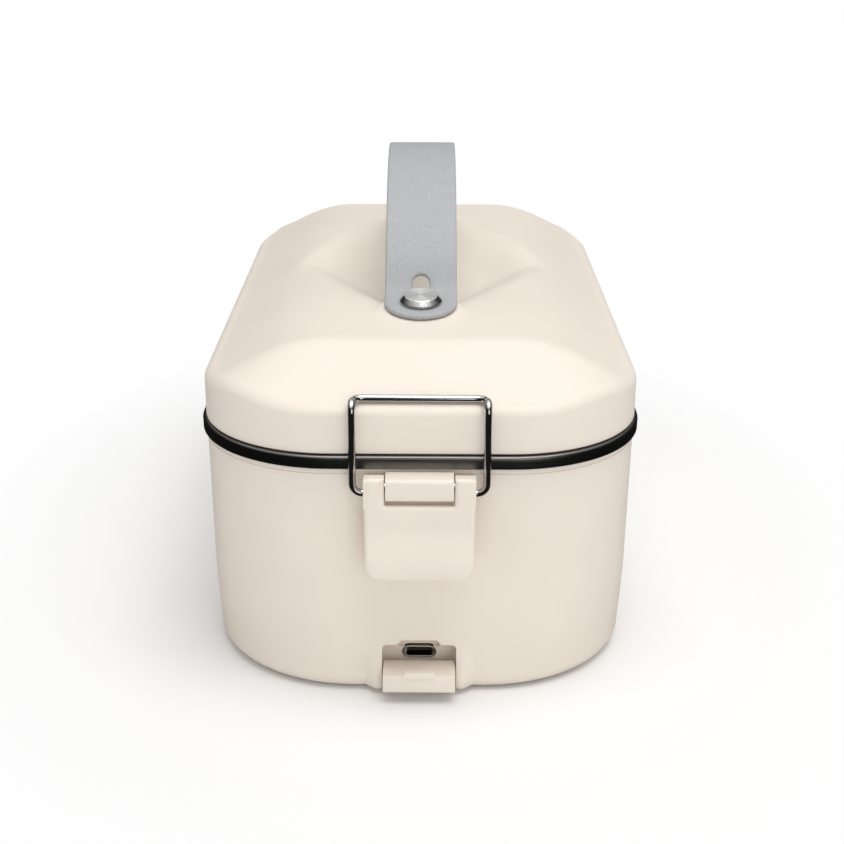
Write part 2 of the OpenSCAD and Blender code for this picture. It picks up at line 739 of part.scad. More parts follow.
// Places its children on the leaning seat of one stud, z = 0 on the seat
module at_seat(s) {
    translate([0, s*stud_y, seat_z]) rotate([-s*seat_tilt, 0, 0]) children();
}

module strap_studs() {
    head = slip + strap_end_t + 0.1;
    color("silver") for (s = [-1, 1]) at_seat(s) {
        translate([0, 0, -lid_wall - 4]) cylinder(r = 1.5, h = 4.1, $fn = 32);
        translate([0, 0, -lid_wall]) cylinder(r = 2.3, h = head + lid_wall + eps, $fn = 32);
        translate([0, 0, head]) cylinder(d = stud_d, h = 0.6, $fn = 64);
        translate([0, 0, head + 0.6]) cylinder(d1 = stud_d, d2 = stud_d - 2.2, h = 1.5, $fn = 64);
    }
}

module stud_nuts() {
    color("silver") for (s = [-1, 1]) at_seat(s) translate([0, 0, -lid_wall - 3.8]) difference() {
        cylinder(r = 4, h = 2.6, $fn = 32);
        translate([0, 0, -1]) cylinder(r = 1.5, h = 5, $fn = 32);
    }
}

// Height of the strap's underside over the lid: straight on its seat, then an arch to the middle
strap_flat = stud_y - 7.6;
arch_foot = strap_z + (stud_y - strap_flat)*seat_slope;
arch_rise = strap_z + strap_rise - arch_foot;
function arch_z(y) =
    arch_foot + arch_rise*pow(max(0, 1 - pow(abs(y)/strap_flat, 2.1)), 0.92)
    - max(0, abs(y) - strap_flat)*seat_slope;
function arch_t(y) = strap_end_t + (strap_t - strap_end_t)*ease((strap_flat - abs(y))/12);

// Strip of a width under the given points along Y
module strap_part(ys, width) {
    n = len(ys) - 1;
    function slope(y) = (arch_z(y + 0.1) - arch_z(y - 0.1))/0.2;
    under = [for (y = ys) [y, arch_z(y)]];
    over = [for (y = ys) let (q = norm([1, slope(y)]))
        [y - arch_t(y)*slope(y)/q, arch_z(y) + arch_t(y)/q]];
    rotate([90, 0, 90]) linear_extrude(width, center = true)
        polygon(concat(under, [for (k = [n : -1 : 0]) over[k]]));
}

crown_half = 26;
end_shift = 0.6;
crown_steps = 20;
end_steps = 14;

module strap_crown() {
    color("darkgray") strap_part([for (k = [0 : crown_steps]) crown_half*(2*k/crown_steps - 1)], strap_w);
}

module strap_end() {
    end_y = stud_y - end_shift;
    difference() {
        intersection() {
            strap_part(concat([-end_y - strap_w/2 - 1],
                [for (k = [0 : end_steps]) -strap_flat + (strap_flat - crown_half)*k/end_steps]), strap_w + 2);
            linear_extrude(crown_z + 2*strap_rise) polygon(concat(
                [for (a = [180 : 5 : 360]) [strap_w/2*cos(a), strap_w/2*sin(a) - end_y]],
                [[strap_w/2, 0], [-strap_w/2, 0]]));
        }
        at_seat(-1) {
            cylinder(r = 2.45, h = 30, $fn = 32);
            translate([-2.45, 0, 0]) cube([4.9, slot_l - 2.45, 16]);
        }
    }
}

module strap_front_end() {
    color("darkgray") strap_end();
}

module strap_rear_end() {
    color("darkgray") mirror([0, 1, 0]) strap_end();
}

base_shell();
bottom_cover();
rubber_feet();
cover_screws();
well_liner();
heater_plate();
heating_film();
insulation_pad();
temperature_sensor();
thermal_fuse();
battery_cells();
battery_holder();
cell_tabs();
main_board();
board_parts();
usb_shell();
usb_tongue();
heater_wires();
power_button();
button_switch();
button_board();
food_tray();
tray_gasket();
latch_bracket();
bracket_screws();
lever_pin();
latch_lever();
bail_wire();
port_door();
door_pin();
base_hinge();
hinge_pin();
hinge_screws();
lid_shell();
lid_liner();
lid_seal();
lid_screws();
strap_studs();
stud_nuts();
strap_crown();
strap_front_end();
strap_rear_end();
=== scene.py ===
"""Electric lunch box: cream heated base, steel food tray, hinged lid with a carrying strap, wire latch."""
import bpy
import bmesh
import json
import math
import numpy as np
from mathutils import Matrix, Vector
from mathutils.geometry import delaunay_2d_cdt


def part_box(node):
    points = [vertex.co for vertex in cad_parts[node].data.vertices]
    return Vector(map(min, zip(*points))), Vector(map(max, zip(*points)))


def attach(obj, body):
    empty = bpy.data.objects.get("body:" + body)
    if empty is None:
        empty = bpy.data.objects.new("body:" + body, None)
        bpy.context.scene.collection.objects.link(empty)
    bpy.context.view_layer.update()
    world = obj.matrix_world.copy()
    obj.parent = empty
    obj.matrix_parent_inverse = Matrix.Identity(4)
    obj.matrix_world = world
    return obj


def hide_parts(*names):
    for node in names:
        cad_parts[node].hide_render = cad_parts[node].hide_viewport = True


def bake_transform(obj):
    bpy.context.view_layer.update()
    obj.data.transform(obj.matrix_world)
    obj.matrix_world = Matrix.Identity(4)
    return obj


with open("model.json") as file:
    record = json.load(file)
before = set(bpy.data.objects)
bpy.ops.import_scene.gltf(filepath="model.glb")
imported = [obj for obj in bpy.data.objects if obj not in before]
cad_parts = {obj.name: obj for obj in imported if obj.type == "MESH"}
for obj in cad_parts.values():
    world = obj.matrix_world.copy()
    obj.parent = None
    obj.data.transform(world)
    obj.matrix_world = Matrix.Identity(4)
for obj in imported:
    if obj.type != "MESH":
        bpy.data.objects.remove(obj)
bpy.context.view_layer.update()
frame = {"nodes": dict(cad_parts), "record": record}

# Camera
# It looks at the latch end from a little above, as in the photograph, with a long lens. Its place
# and turn were fitted to the outlines of the rim band, the lid and the foot.
FOCAL_PX = 1500
PICTURE_PX = 844
camera_data = bpy.data.cameras.new("camera")
SENSOR_MM = 36
camera_data.sensor_width = SENSOR_MM
camera_data.lens = FOCAL_PX/PICTURE_PX*SENSOR_MM
camera = bpy.data.objects.new("camera", camera_data)
right = (0.999987, 0.003387, 0.003752)
up = (-0.004693, 0.346641, 0.937986)
forward = (-0.001876, 0.937992, -0.346653)
eye = (0.001289, -0.477545, 0.217084)
camera.matrix_world = Matrix([[right[k], up[k], -forward[k], eye[k]] for k in range(3)] + [[0, 0, 0, 1]])
camera_data.clip_start = 0.01
bpy.context.collection.objects.link(camera)
bpy.context.scene.camera = camera

# Studio
# A white sweep under a broad soft light from above the latch end. Metal sees a dark room below a
# bright ceiling, and the sweep fades to plain white away from the box.
scene = bpy.context.scene
scene.view_settings.view_transform = "Standard"
SKY_FOR_LIGHT = 0.5
SKY_DARK, SKY_BRIGHT = 0.015, 1.15
CEILING_FROM, CEILING_TO = 0.50, 0.78
world = bpy.data.worlds.new("studio")
scene.world = world
world.use_nodes = True
sky = world.node_tree.nodes
sky_links = world.node_tree.links
sky.clear()
sky_out = sky.new("ShaderNodeOutputWorld")
ray = sky.new("ShaderNodeLightPath")
sky_place = sky.new("ShaderNodeTexCoord")
sky_split = sky.new("ShaderNodeSeparateXYZ")
sky_links.new(sky_place.outputs["Generated"], sky_split.inputs[0])
ceiling = sky.new("ShaderNodeMapRange")
ceiling.interpolation_type = "SMOOTHSTEP"
for label, value in (("From Min", CEILING_FROM), ("From Max", CEILING_TO),
                     ("To Min", SKY_DARK), ("To Max", SKY_BRIGHT)):
    ceiling.inputs[label].default_value = value
sky_links.new(sky_split.outputs["Z"], ceiling.inputs["Value"])


def sky_part(strength):
    """A white background; strength is a number or a socket."""
    made = sky.new("ShaderNodeBackground")
    made.inputs["Color"].default_value = (1, 1, 1, 1)
    if isinstance(strength, float):
        made.inputs["Strength"].default_value = strength
    else:
        sky_links.new(strength, made.inputs["Strength"])
    return made.outputs[0]


def sky_choice(test, yes, no):
    """One of two backgrounds by the kind of ray."""
    mix = sky.new("ShaderNodeMixShader")
    sky_links.new(ray.outputs[test], mix.inputs["Fac"])
    sky_links.new(no, mix.inputs[1])
    sky_links.new(yes, mix.inputs[2])
    return mix.outputs[0]


seen_sky = sky_choice("Is Glossy Ray", sky_part(ceiling.outputs["Result"]), sky_part(SKY_FOR_LIGHT))
for test in ("Is Camera Ray", "Is Transmission Ray"):
    seen_sky = sky_choice(test, sky_part(1.0), seen_sky)
sky_links.new(seen_sky, sky_out.inputs["Surface"])


def softbox(name, place, aim, size, power):
    """A square area lamp at place, facing aim; both in metres."""
    data = bpy.data.lights.new(name, "AREA")
    data.size = size
    data.energy = power
    lamp = bpy.data.objects.new(name, data)
    lamp.location = place
    way = np.subtract(aim, place)
    flat = math.hypot(way[0], way[1])
    lamp.rotation_euler = (math.atan2(flat, -way[2]), 0, math.atan2(-way[0], way[1]))
    bpy.context.collection.objects.link(lamp)


softbox("top_softbox", (0.15, -0.25, 1.3), (0, 0, 0.05), 0.9, 10)
softbox("front_softbox", (0.45, -1.4, 0.32), (0, -0.05, 0.03), 0.9, 3.6)


def solid_material(name, colour, roughness, metallic=0.0):
    """A principled material of one colour, returned with its nodes, links and shader."""
    made = bpy.data.materials.new(name)
    made.use_nodes = True
    nodes = made.node_tree.nodes
    shader = nodes["Principled BSDF"]
    shader.inputs["Base Color"].default_value = (*colour, 1)
    shader.inputs["Roughness"].default_value = roughness
    shader.inputs["Metallic"].default_value = metallic
    return made, nodes, made.node_tree.links, shader


floor_white, nodes, links, shader = solid_material("floor_white", (0.93, 0.93, 0.93), 0.9)
FADE_SCALE = (1/0.11, 1/0.16, 0)
FADE_FROM, FADE_TO = 0.75, 1.7
place = nodes.new("ShaderNodeTexCoord")
squeeze = nodes.new("ShaderNodeVectorMath")
squeeze.operation = "MULTIPLY"
squeeze.inputs[1].default_value = FADE_SCALE
reach = nodes.new("ShaderNodeVectorMath")
reach.operation = "LENGTH"
fade = nodes.new("ShaderNodeMapRange")
fade.interpolation_type = "SMOOTHSTEP"
fade.inputs["From Min"].default_value = FADE_FROM
fade.inputs["From Max"].default_value = FADE_TO
glow = nodes.new("ShaderNodeEmission")
blend_out = nodes.new("ShaderNodeMixShader")
links.new(place.outputs["Object"], squeeze.inputs[0])
links.new(squeeze.outputs["Vector"], reach.inputs[0])
links.new(reach.outputs["Value"], fade.inputs["Value"])
links.new(fade.outputs["Result"], blend_out.inputs["Fac"])
links.new(shader.outputs["BSDF"], blend_out.inputs[1])
links.new(glow.outputs[0], blend_out.inputs[2])
links.new(blend_out.outputs[0], nodes["Material Output"].inputs["Surface"])
FLOOR_HALF = 4.0
floor_mesh = bpy.data.meshes.new("floor")
floor_mesh.from_pydata([(-FLOOR_HALF, -FLOOR_HALF, 0), (FLOOR_HALF, -FLOOR_HALF, 0),
                        (FLOOR_HALF, FLOOR_HALF, 0), (-FLOOR_HALF, FLOOR_HALF, 0)], [], [(0, 1, 2, 3)])
floor_mesh.materials.append(floor_white)
floor = bpy.data.objects.new("floor", floor_mesh)
bpy.context.collection.objects.link(floor)
floor.visible_glossy = False

# Base shell
# The tub of the body: one satin ABS moulding with a fine spark-eroded grain, drawn in a little towards
# a rounded foot. It has a parting line under the rim, a pocket for the charging socket in its front
# and a hole for the power button in its right side.


def add_grain(nodes, links, shader, scale, strength, distance):
    """Fine bump from noise on object coordinates; scale is in grains per metre. Returns the coordinates."""
    place = nodes.new("ShaderNodeTexCoord")
    noise = nodes.new("ShaderNodeTexNoise")
    noise.inputs["Scale"].default_value = scale
    noise.inputs["Detail"].default_value = 3
    bump = nodes.new("ShaderNodeBump")
    bump.inputs["Strength"].default_value = strength
    bump.inputs["Distance"].default_value = distance
    links.new(place.outputs["Object"], noise.inputs["Vector"])
    links.new(noise.outputs["Fac"], bump.inputs["Height"])
    links.new(bump.outputs["Normal"], shader.inputs["Normal"])
    return place


def add_mottle(nodes, links, shader, place, low, high, scale):
    """Slow change between two close colours over the piece; scale is in spots per metre."""
    noise = nodes.new("ShaderNodeTexNoise")
    noise.inputs["Scale"].default_value = scale
    noise.inputs["Detail"].default_value = 4
    ramp = nodes.new("ShaderNodeValToRGB")
    for stop, position, colour in zip(ramp.color_ramp.elements, (0.35, 0.65), (low, high)):
        stop.position = position
        stop.color = (*colour, 1)
    links.new(place.outputs["Object"], noise.inputs["Vector"])
    links.new(noise.outputs["Fac"], ramp.inputs["Fac"])
    links.new(ramp.outputs["Color"], shader.inputs["Base Color"])


def around_colour(colour, darker, lighter):
    """Two colours a little to either side of one."""
    return tuple(c*darker for c in colour), tuple(min(1, c*lighter) for c in colour)


CREAM = (0.86, 0.78, 0.69)
cream, nodes, links, shader = solid_material("cream_plastic", CREAM, 0.5)
shader.inputs["Specular IOR Level"].default_value = 0.3
place = add_grain(nodes, links, shader, 2600, 0.12, 0.00005)
add_mottle(nodes, links, shader, place, *around_colour(CREAM, 0.985, 1.012), 35)

# Sizes are in millimetres up to the point where they become a mesh.
MM = 0.001


def ease(t):
    """Smooth step from 0 to 1."""
    u = np.clip(t, 0, 1)
    return u*u*(3 - 2*u)


def link_mesh(name, points, faces, material, sharp=None):
    """Makes a smooth mesh object from points in millimetres; edges past an angle in degrees stay sharp."""
    mesh = bpy.data.meshes.new(name)
    mesh.from_pydata((np.asarray(points, float)*MM).tolist(), [], faces)
    mesh.validate()
    mesh.update()
    mesh.materials.append(material)
    mesh.polygons.foreach_set("use_smooth", [True]*len(mesh.polygons))
    if sharp is not None:
        mesh.set_sharp_from_angle(angle=math.radians(sharp))
    made = bpy.data.objects.new(name, mesh)
    bpy.context.collection.objects.link(made)
    return made


def outline(width, length, radius, arc=20, side=16):
    """Closed rounded rectangle: four arcs joined by straight sides, counter-clockwise."""
    turn = np.linspace(0, np.pi/2, arc + 1)
    corners = [(width/2 - radius, length/2 - radius), (radius - width/2, length/2 - radius),
               (radius - width/2, radius - length/2), (width/2 - radius, radius - length/2)]
    parts = []
    for k, (x, y) in enumerate(corners):
        a = turn + k*np.pi/2
        bend = np.c_[x + radius*np.cos(a), y + radius*np.sin(a)]
        nx, ny = corners[(k + 1) % 4]
        b = (k + 1)*np.pi/2
        start, end = bend[-1], np.array([nx + radius*np.cos(b), ny + radius*np.sin(b)])
        t = np.linspace(0, 1, side + 1)[1:-1, None]
        parts += [bend, start + (end - start)*t]
    return np.concatenate(parts)


def ring_faces(rows, count, flip=False):
    """Quads between neighbouring closed rings of count points."""
    r, c = np.meshgrid(np.arange(rows - 1), np.arange(count), indexing="ij")
    a = r*count + c
    b = r*count + (c + 1) % count
    quads = np.stack([a, b, b + count, a + count], axis=-1).reshape(-1, 4)
    return (quads[:, ::-1] if flip else quads).tolist()


def quarter(centre_inset, centre_z, radius, start, end, steps=8):
    """Arc of a profile in degrees: 0 points outwards, 90 up."""
    a = np.radians(np.linspace(start, end, steps + 1))
    return [(centre_inset - radius*math.cos(t), centre_z + radius*math.sin(t)) for t in a]


def apply_modifiers(piece):
    """Bakes the live modifiers into the piece's mesh."""
    graph = bpy.context.evaluated_depsgraph_get()
    graph.update()
    done = bpy.data.meshes.new_from_object(piece.evaluated_get(graph))
    piece.modifiers.clear()
    old = piece.data
    piece.data = done
    bpy.data.meshes.remove(old)


def cut(piece, cutter):
    """Takes the cutter out of the piece and applies the result."""
    mod = piece.modifiers.new("cut", "BOOLEAN")
    mod.operation = "DIFFERENCE"
    mod.solver = "EXACT"
    mod.object = cutter
    apply_modifiers(piece)
    bpy.data.objects.remove(cutter)


def fix_normals(piece):
    """Turns all faces of a closed piece outwards."""
    work = bmesh.new()
    work.from_mesh(piece.data)
    bmesh.ops.recalc_face_normals(work, faces=work.faces)
    work.to_mesh(piece.data)
    work.free()


def finish_piece(piece, body, slot, *nodes):
    """The piece rides on a body and stands for its nodes. The slot is not used."""
    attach(piece, body)
    if nodes:
        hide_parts(*nodes)


def node_box(node):
    """Corners of a CAD node's box in millimetres."""
    return [np.array(v)/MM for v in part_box(node)]


band_low, band_high = node_box("food_tray")
RIM_W = band_high[0] - band_low[0]
RIM_L = band_high[1] - band_low[1]
RIM_R = 38
RIM_TOP = band_high[2]
RIM_H = 3.7
BASE_TOP = RIM_TOP - RIM_H
BASE_IN = 1.2
FOOT_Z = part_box("base_shell")[0][2]/MM
TAPER = 1.0
FOOT_ROUND = 4.5
WALL = 2.4
base_w, base_l, base_r = RIM_W - 2*BASE_IN, RIM_L - 2*BASE_IN, RIM_R - BASE_IN
foot_top = FOOT_Z + FOOT_ROUND


def taper_at(z):
    """Inset of the outside wall at a height."""
    return TAPER*(1 - (z - foot_top)/(BASE_TOP - foot_top))


GROOVE_Z = BASE_TOP - 1.5
GROOVE_D = 0.22
TOP_ROUND = 0.5
COVER_IN = 7.8
base_profile = [(WALL, BASE_TOP - 0.1)]
base_profile += quarter(TOP_ROUND, BASE_TOP - TOP_ROUND, TOP_ROUND, 90, 0, 4)
base_profile += [(0.0, GROOVE_Z + GROOVE_D), (GROOVE_D, GROOVE_Z + 0.1)]
base_profile += [(GROOVE_D, GROOVE_Z - 0.1), (0.0, GROOVE_Z - GROOVE_D)]
base_profile += [(taper_at(z), z) for z in np.linspace(GROOVE_Z - 0.6, foot_top, 26)]
base_profile += quarter(TAPER + FOOT_ROUND, foot_top, FOOT_ROUND, 0, -90, 12)[1:]
base_profile += [(COVER_IN - 0.3, FOOT_Z), (COVER_IN, FOOT_Z + 0.3), (COVER_IN, FOOT_Z + WALL)]
base_profile += [(TAPER + WALL + 1.5, FOOT_Z + WALL), (TAPER + WALL, FOOT_Z + WALL + 1.5)]
base_profile += [(WALL, BASE_TOP - 0.4)]
FOOT_OPEN, OPEN_Z = 6.0, 28.0
LUG_OUT, LUG_REACH, LUG_Z, LUG_RISE = 2.6, 4.2, 15, 9
door_low, door_high = node_box("port_door")
DOOR_W = door_high[0] - door_low[0]
LUG_X = DOOR_W/2 + 1.6


def base_ring(inset, height):
    """One level of the base: corners open towards the foot, and two lugs swell beside the door."""
    opened = FOOT_OPEN*float(ease((OPEN_Z - height)/(OPEN_Z - FOOT_Z)))
    flat = outline(base_w - 2*inset, base_l - 2*inset, max(base_r + opened - inset, 0.3), 24, 120)
    beside = ease(1 - np.abs(np.abs(flat[:, 0]) - LUG_X)/LUG_REACH)
    lug = LUG_OUT*beside*float(ease((LUG_Z - height)/LUG_RISE))*(flat[:, 1] < 0)*(inset < WALL)
    return np.c_[flat[:, 0], flat[:, 1] - lug, np.full(len(flat), height)]


rings = np.array([base_ring(inset, height) for inset, height in base_profile])
n = rings.shape[1]
base_faces = ring_faces(len(rings), n, flip=True)
last = (len(rings) - 1)*n
base_faces += [(k, last + k, last + (k + 1) % n, (k + 1) % n)[::-1] for k in range(n)]
base_shell = link_mesh("base_outer", rings.reshape(-1, 3), base_faces, cream, sharp=40)

DOOR_L = 8.7
PIN_Y = -base_l/2 + TAPER + 1.55
PIN_Z = 5.2
usb_low, usb_high = node_box("usb_shell")
POCKET_FRONT, POCKET_BACK = -base_l/2 - 12, usb_low[1] - 0.6
POCKET_TOP = PIN_Z + DOOR_L + 0.9


def slab(name, flat, low, high, along_x=True):
    """A cream bar whose outline runs along X or Y; flat holds (y, z) or (x, z) in millimetres."""
    count = len(flat)
    points = [(w, u, v) if along_x else (u, w, v) for w in (low, high) for u, v in flat]
    faces = [tuple(range(count))[::-1], tuple(range(count, 2*count))]
    faces += [(k, (k + 1) % count, (k + 1) % count + count, k + count) for k in range(count)]
    made = link_mesh(name, points, faces, cream)
    fix_normals(made)
    return made


def arc_points(cx, cz, radius, start, end, steps=6):
    """Points of an arc in the XZ plane, angles in degrees."""
    a = np.radians(np.linspace(start, end, steps + 1))
    return [(cx + radius*math.cos(t), cz + radius*math.sin(t)) for t in a]


half_pocket = DOOR_W/2 + 0.3
CORNER_R = 1.2
LUG_HALF, LUG_UP = 5.6, 1.5
right_half = arc_points(half_pocket - CORNER_R, POCKET_TOP - CORNER_R, CORNER_R, 0, 90)
right_half += arc_points(LUG_HALF + 0.9, POCKET_TOP + 0.5, 0.5, 270, 200, 3)
right_half += arc_points(LUG_HALF - 0.9, POCKET_TOP + LUG_UP - 0.6, 0.6, 20, 90, 3)
pocket = [(-half_pocket, 0.0), (half_pocket, 0.0)] + right_half + [(-x, z) for x, z in right_half[::-1]]
cut(base_shell, slab("pocket_cutter", pocket, POCKET_FRONT, POCKET_BACK, along_x=False))
button_low, button_high = node_box("power_button")
BUTTON_HOLE_R, HOLE_SIDES = 6.3, 64
hole = arc_points((button_low[1] + button_high[1])/2, (button_low[2] + button_high[2])/2, BUTTON_HOLE_R,
                  0, 360 - 360/HOLE_SIDES, HOLE_SIDES - 1)
cut(base_shell, slab("button_cutter", hole, button_low[0] - 2, button_high[0] + 5))
base_shell.data.set_sharp_from_angle(angle=math.radians(35))
finish_piece(base_shell, "base", "cream_plastic", "base_shell")

# Port wall
# The moulded box behind the pocket: its wall has the socket's mouth, a stadium-shaped hole, and a
# shallow recess for the door's ridge.


def soften(piece, width, segments, angle=None):
    """Rounds the edges, or only those sharper than an angle in degrees."""
    edges = piece.modifiers.new("edges", "BEVEL")
    edges.width = width*MM
    edges.segments = segments
    edges.limit_method = "ANGLE" if angle else "NONE"
    if angle:
        edges.angle_limit = math.radians(angle)
    apply_modifiers(piece)


def rounded_box(name, low, high, radius=0):
    """A cream box in millimetres whose edges are rounded."""
    (x0, y0, z0), (x1, y1, z1) = low, high
    points = [(x, y, z) for z in (z0, z1) for y in (y0, y1) for x in (x0, x1)]
    faces = [(0, 2, 3, 1), (4, 5, 7, 6), (0, 1, 5, 4), (2, 6, 7, 3), (0, 4, 6, 2), (1, 3, 7, 5)]
    made = link_mesh(name, points, faces, cream)
    if radius > 0:
        soften(made, radius, 3)
    return made


def stadium(grow):
    """Outline of the socket in the XZ plane, made larger by a distance."""
    return (arc_points(socket_w, socket_z, socket_h + grow, -90, 90, 12)
            + arc_points(-socket_w, socket_z, socket_h + grow, 90, 270, 12))


WALL_T, WALL_SIDE, WALL_UP = 2, 2, 2.5
MOUTH_GAP = 0.4
RIDGE_ROOM, RIDGE_LOW, RIDGE_HIGH = 1.25, 3.5, 0.3
port_wall = rounded_box("port_wall", (-half_pocket - WALL_SIDE, -base_l/2 + TAPER + WALL - 0.1, FOOT_Z + 0.2),
                        (half_pocket + WALL_SIDE, POCKET_BACK + WALL_T, POCKET_TOP + WALL_UP))
cut(port_wall, slab("room_cutter", pocket, POCKET_FRONT, POCKET_BACK, along_x=False))
socket_z = (usb_low[2] + usb_high[2])/2
socket_h = (usb_high[2] - usb_low[2])/2
socket_w = (usb_high[0] - usb_low[0])/2 - socket_h
cut(port_wall, slab("mouth_cutter", stadium(MOUTH_GAP), POCKET_BACK - 2, POCKET_BACK + 4, along_x=False))
cut(port_wall, rounded_box("ridge_cutter", (-LUG_HALF, POCKET_BACK - 1, POCKET_TOP - RIDGE_LOW),
                           (LUG_HALF, POCKET_BACK + RIDGE_ROOM, POCKET_TOP - RIDGE_HIGH)))
port_wall.data.set_sharp_from_angle(angle=math.radians(35))
finish_piece(port_wall, "base", "cream_plastic")

# Socket shell
# The socket's drawn steel sleeve, open at the front and closed behind. It stands in the mouth of the
# port wall, a little behind its face, around the black tongue.
shell_steel, nodes, links, shader = solid_material("shell_steel", (0.72, 0.71, 0.69), 0.22, 1.0)
add_grain(nodes, links, shader, 2500, 0.04, 0.00003)
SLEEVE_T, LIP_R = 0.3, 0.1
FACE_Y = POCKET_BACK + 0.15
sleeve_view = [(usb_high[1], 0), (FACE_Y + LIP_R, 0), (FACE_Y, LIP_R), (FACE_Y, SLEEVE_T - LIP_R),
               (FACE_Y + LIP_R, SLEEVE_T), (usb_high[1] - SLEEVE_T, SLEEVE_T)]
sleeve_rings = [[(x, y, z) for x, z in stadium(-shrink)] for y, shrink in sleeve_view]
around = len(sleeve_rings[0])
sleeve_faces = ring_faces(len(sleeve_rings), around)
sleeve_end = around*(len(sleeve_rings) - 1)
sleeve_faces += [tuple(range(around))[::-1], tuple(range(sleeve_end, sleeve_end + around))]
sleeve = link_mesh("socket_sleeve", sum(sleeve_rings, []), sleeve_faces, shell_steel, sharp=40)
fix_normals(sleeve)
finish_piece(sleeve, "base", "nickel", "usb_shell")

# Food tray
# Pressed from one sheet of stainless steel, satin inside. Its edge is rolled down into the band that shows
# between lid and base, and brushed along its length. The band takes a far darker copy of the steel than the
# inside: a painted dark reflection.


def rim_rings(width, length, radius, profile, arc, side):
    """Rings of one rounded outline; profile is a list of (inset, height) from first ring to last."""
    rings = []
    for inset, height in profile:
        flat = outline(width - 2*inset, length - 2*inset, max(radius - inset, 0.3), arc, side)
        rings.append(np.c_[flat, np.full(len(flat), height)])
    return np.array(rings)


# The band's steel is a dark copy of the tray's steel, a painted dark reflection.
steel, steel_nodes, steel_links, steel_shader = solid_material("tray_steel", (0.16, 0.155, 0.15), 0.3, 1.0)
steel_place = steel_nodes.new("ShaderNodeTexCoord")
steel_stretch = steel_nodes.new("ShaderNodeMapping")
steel_stretch.inputs["Scale"].default_value = (60, 60, 5200)
steel_noise = steel_nodes.new("ShaderNodeTexNoise")
steel_noise.inputs["Scale"].default_value = 1
steel_noise.inputs["Detail"].default_value = 2
steel_range = steel_nodes.new("ShaderNodeMapRange")
for label, roughness in (("To Min", 0.22), ("To Max", 0.42)):
    steel_range.inputs[label].default_value = roughness
steel_links.new(steel_place.outputs["Object"], steel_stretch.inputs["Vector"])
steel_links.new(steel_stretch.outputs["Vector"], steel_noise.inputs["Vector"])
steel_links.new(steel_noise.outputs["Fac"], steel_range.inputs["Value"])
steel_links.new(steel_range.outputs["Result"], steel_shader.inputs["Roughness"])
TRAY_IN, TRAY_T, TRAY_BEND = 7.5, 0.8, 7
FLOOR_IN = 30
ROLL_IN = 0.85
tray_floor = band_low[2]


def floor_bend(inset, height, turns):
    """Quarter bend between the tray's floor and its wall, for angles up from the floor."""
    return [(inset + TRAY_BEND*(1 - math.sin(t)), height + TRAY_BEND*(1 - math.cos(t))) for t in turns]


tray_profile = [(FLOOR_IN, tray_floor + TRAY_T), (TRAY_IN + 8, tray_floor + TRAY_T)]
tray_profile += floor_bend(TRAY_IN + TRAY_T, tray_floor + TRAY_T, np.linspace(0.2, np.pi/2, 8))
tray_profile += [(TRAY_IN + TRAY_T, RIM_TOP - 1.6), (TRAY_IN + 0.5, RIM_TOP - 0.5), (TRAY_IN - 0.3, RIM_TOP)]
tray_profile += [(1.6, RIM_TOP)] + quarter(0.9, RIM_TOP - 0.9, 0.9, 90, 0, 6)
tray_profile += [(0.02, RIM_TOP - 1.8), (0.05, BASE_TOP + 0.9)]
tray_profile += quarter(0.55, BASE_TOP + 0.5, 0.5, 0, -90, 4)
tray_profile += [(ROLL_IN, BASE_TOP + 0.3), (ROLL_IN, RIM_TOP - 0.9), (1.6, RIM_TOP - TRAY_T)]
tray_profile += [(TRAY_IN, RIM_TOP - TRAY_T), (TRAY_IN, tray_floor + 8)]
tray_profile += floor_bend(TRAY_IN, tray_floor, np.linspace(np.pi/2, 0, 8)) + [(FLOOR_IN, tray_floor)]
rings = rim_rings(RIM_W, RIM_L, RIM_R, tray_profile, arc=24, side=12)
n = rings.shape[1]
tray_faces = ring_faces(len(rings), n)
tray_faces += [tuple(range(n))[::-1], tuple(range((len(rings) - 1)*n, len(rings)*n))]
tray = link_mesh("steel_tray", rings.reshape(-1, 3), [f[::-1] for f in tray_faces], steel, sharp=50)
inner_steel, nodes, links, shader = solid_material("tray_inner", (0.60, 0.59, 0.57), 0.34, 1.0)
add_grain(nodes, links, shader, 2500, 0.06, 0.00003)
tray.data.materials.append(inner_steel)
# The faces of the rolled band take the dark copy, a painted dark reflection; the rest take the satin inside.
BAND_IN = 1.6
in_band = [k for k, (inset, _) in enumerate(tray_profile) if inset <= BAND_IN]
for face in tray.data.polygons:
    in_ring = in_band[0] <= min(face.vertices)//n < in_band[-1]
    face.material_index = 0 if in_ring and len(face.vertices) == 4 else 1
finish_piece(tray, "base", "tray_steel", "food_tray")

# Lid shell
# The lid's outer moulding: an upright wall with a rounded rim, four slopes up to a level top,
# a shallow hand scoop under the strap, and two hinge ears at the back.
LID_IN, SEAM = 1.0, 0.3
LID_WALL, LID_ROUND = 2.4, 2.5
LID_H, CROWN_H = 13.0, 13.0
END_SLOPE, CREST_K = 21.5, 0.15
SIDE_SLOPE, SIDE_K = 26.0, 0.4
ROOF_FROM, ROOF_RUN = 50, 38
SCOOP_D, SCOOP_POWER, SCOOP_SHARP = 8.5, 1.25, 1.9
lid_w, lid_l, lid_r = RIM_W - 2*LID_IN, RIM_L - 2*LID_IN, RIM_R - LID_IN
LID_BOTTOM = RIM_TOP + SEAM
LID_RIM = LID_BOTTOM + LID_H
CROWN_Z = LID_RIM + CROWN_H
SEAT_Z = CROWN_Z + 1.0
SEAT_TILT = math.radians(8.5)
STUD_Y = 63.0
SEAT_R, SEAT_BLEND = 8.8, 3.0
SCOOP_X, SCOOP_Y = 42.0, STUD_Y + 7


def inward(x, y):
    """Distance inwards from the lid's outline, a rounded rectangle."""
    a, b = np.abs(x) - lid_w/2 + lid_r, np.abs(y) - lid_l/2 + lid_r
    return lid_r - np.hypot(np.maximum(a, 0), np.maximum(b, 0)) - np.minimum(np.maximum(a, b), 0)


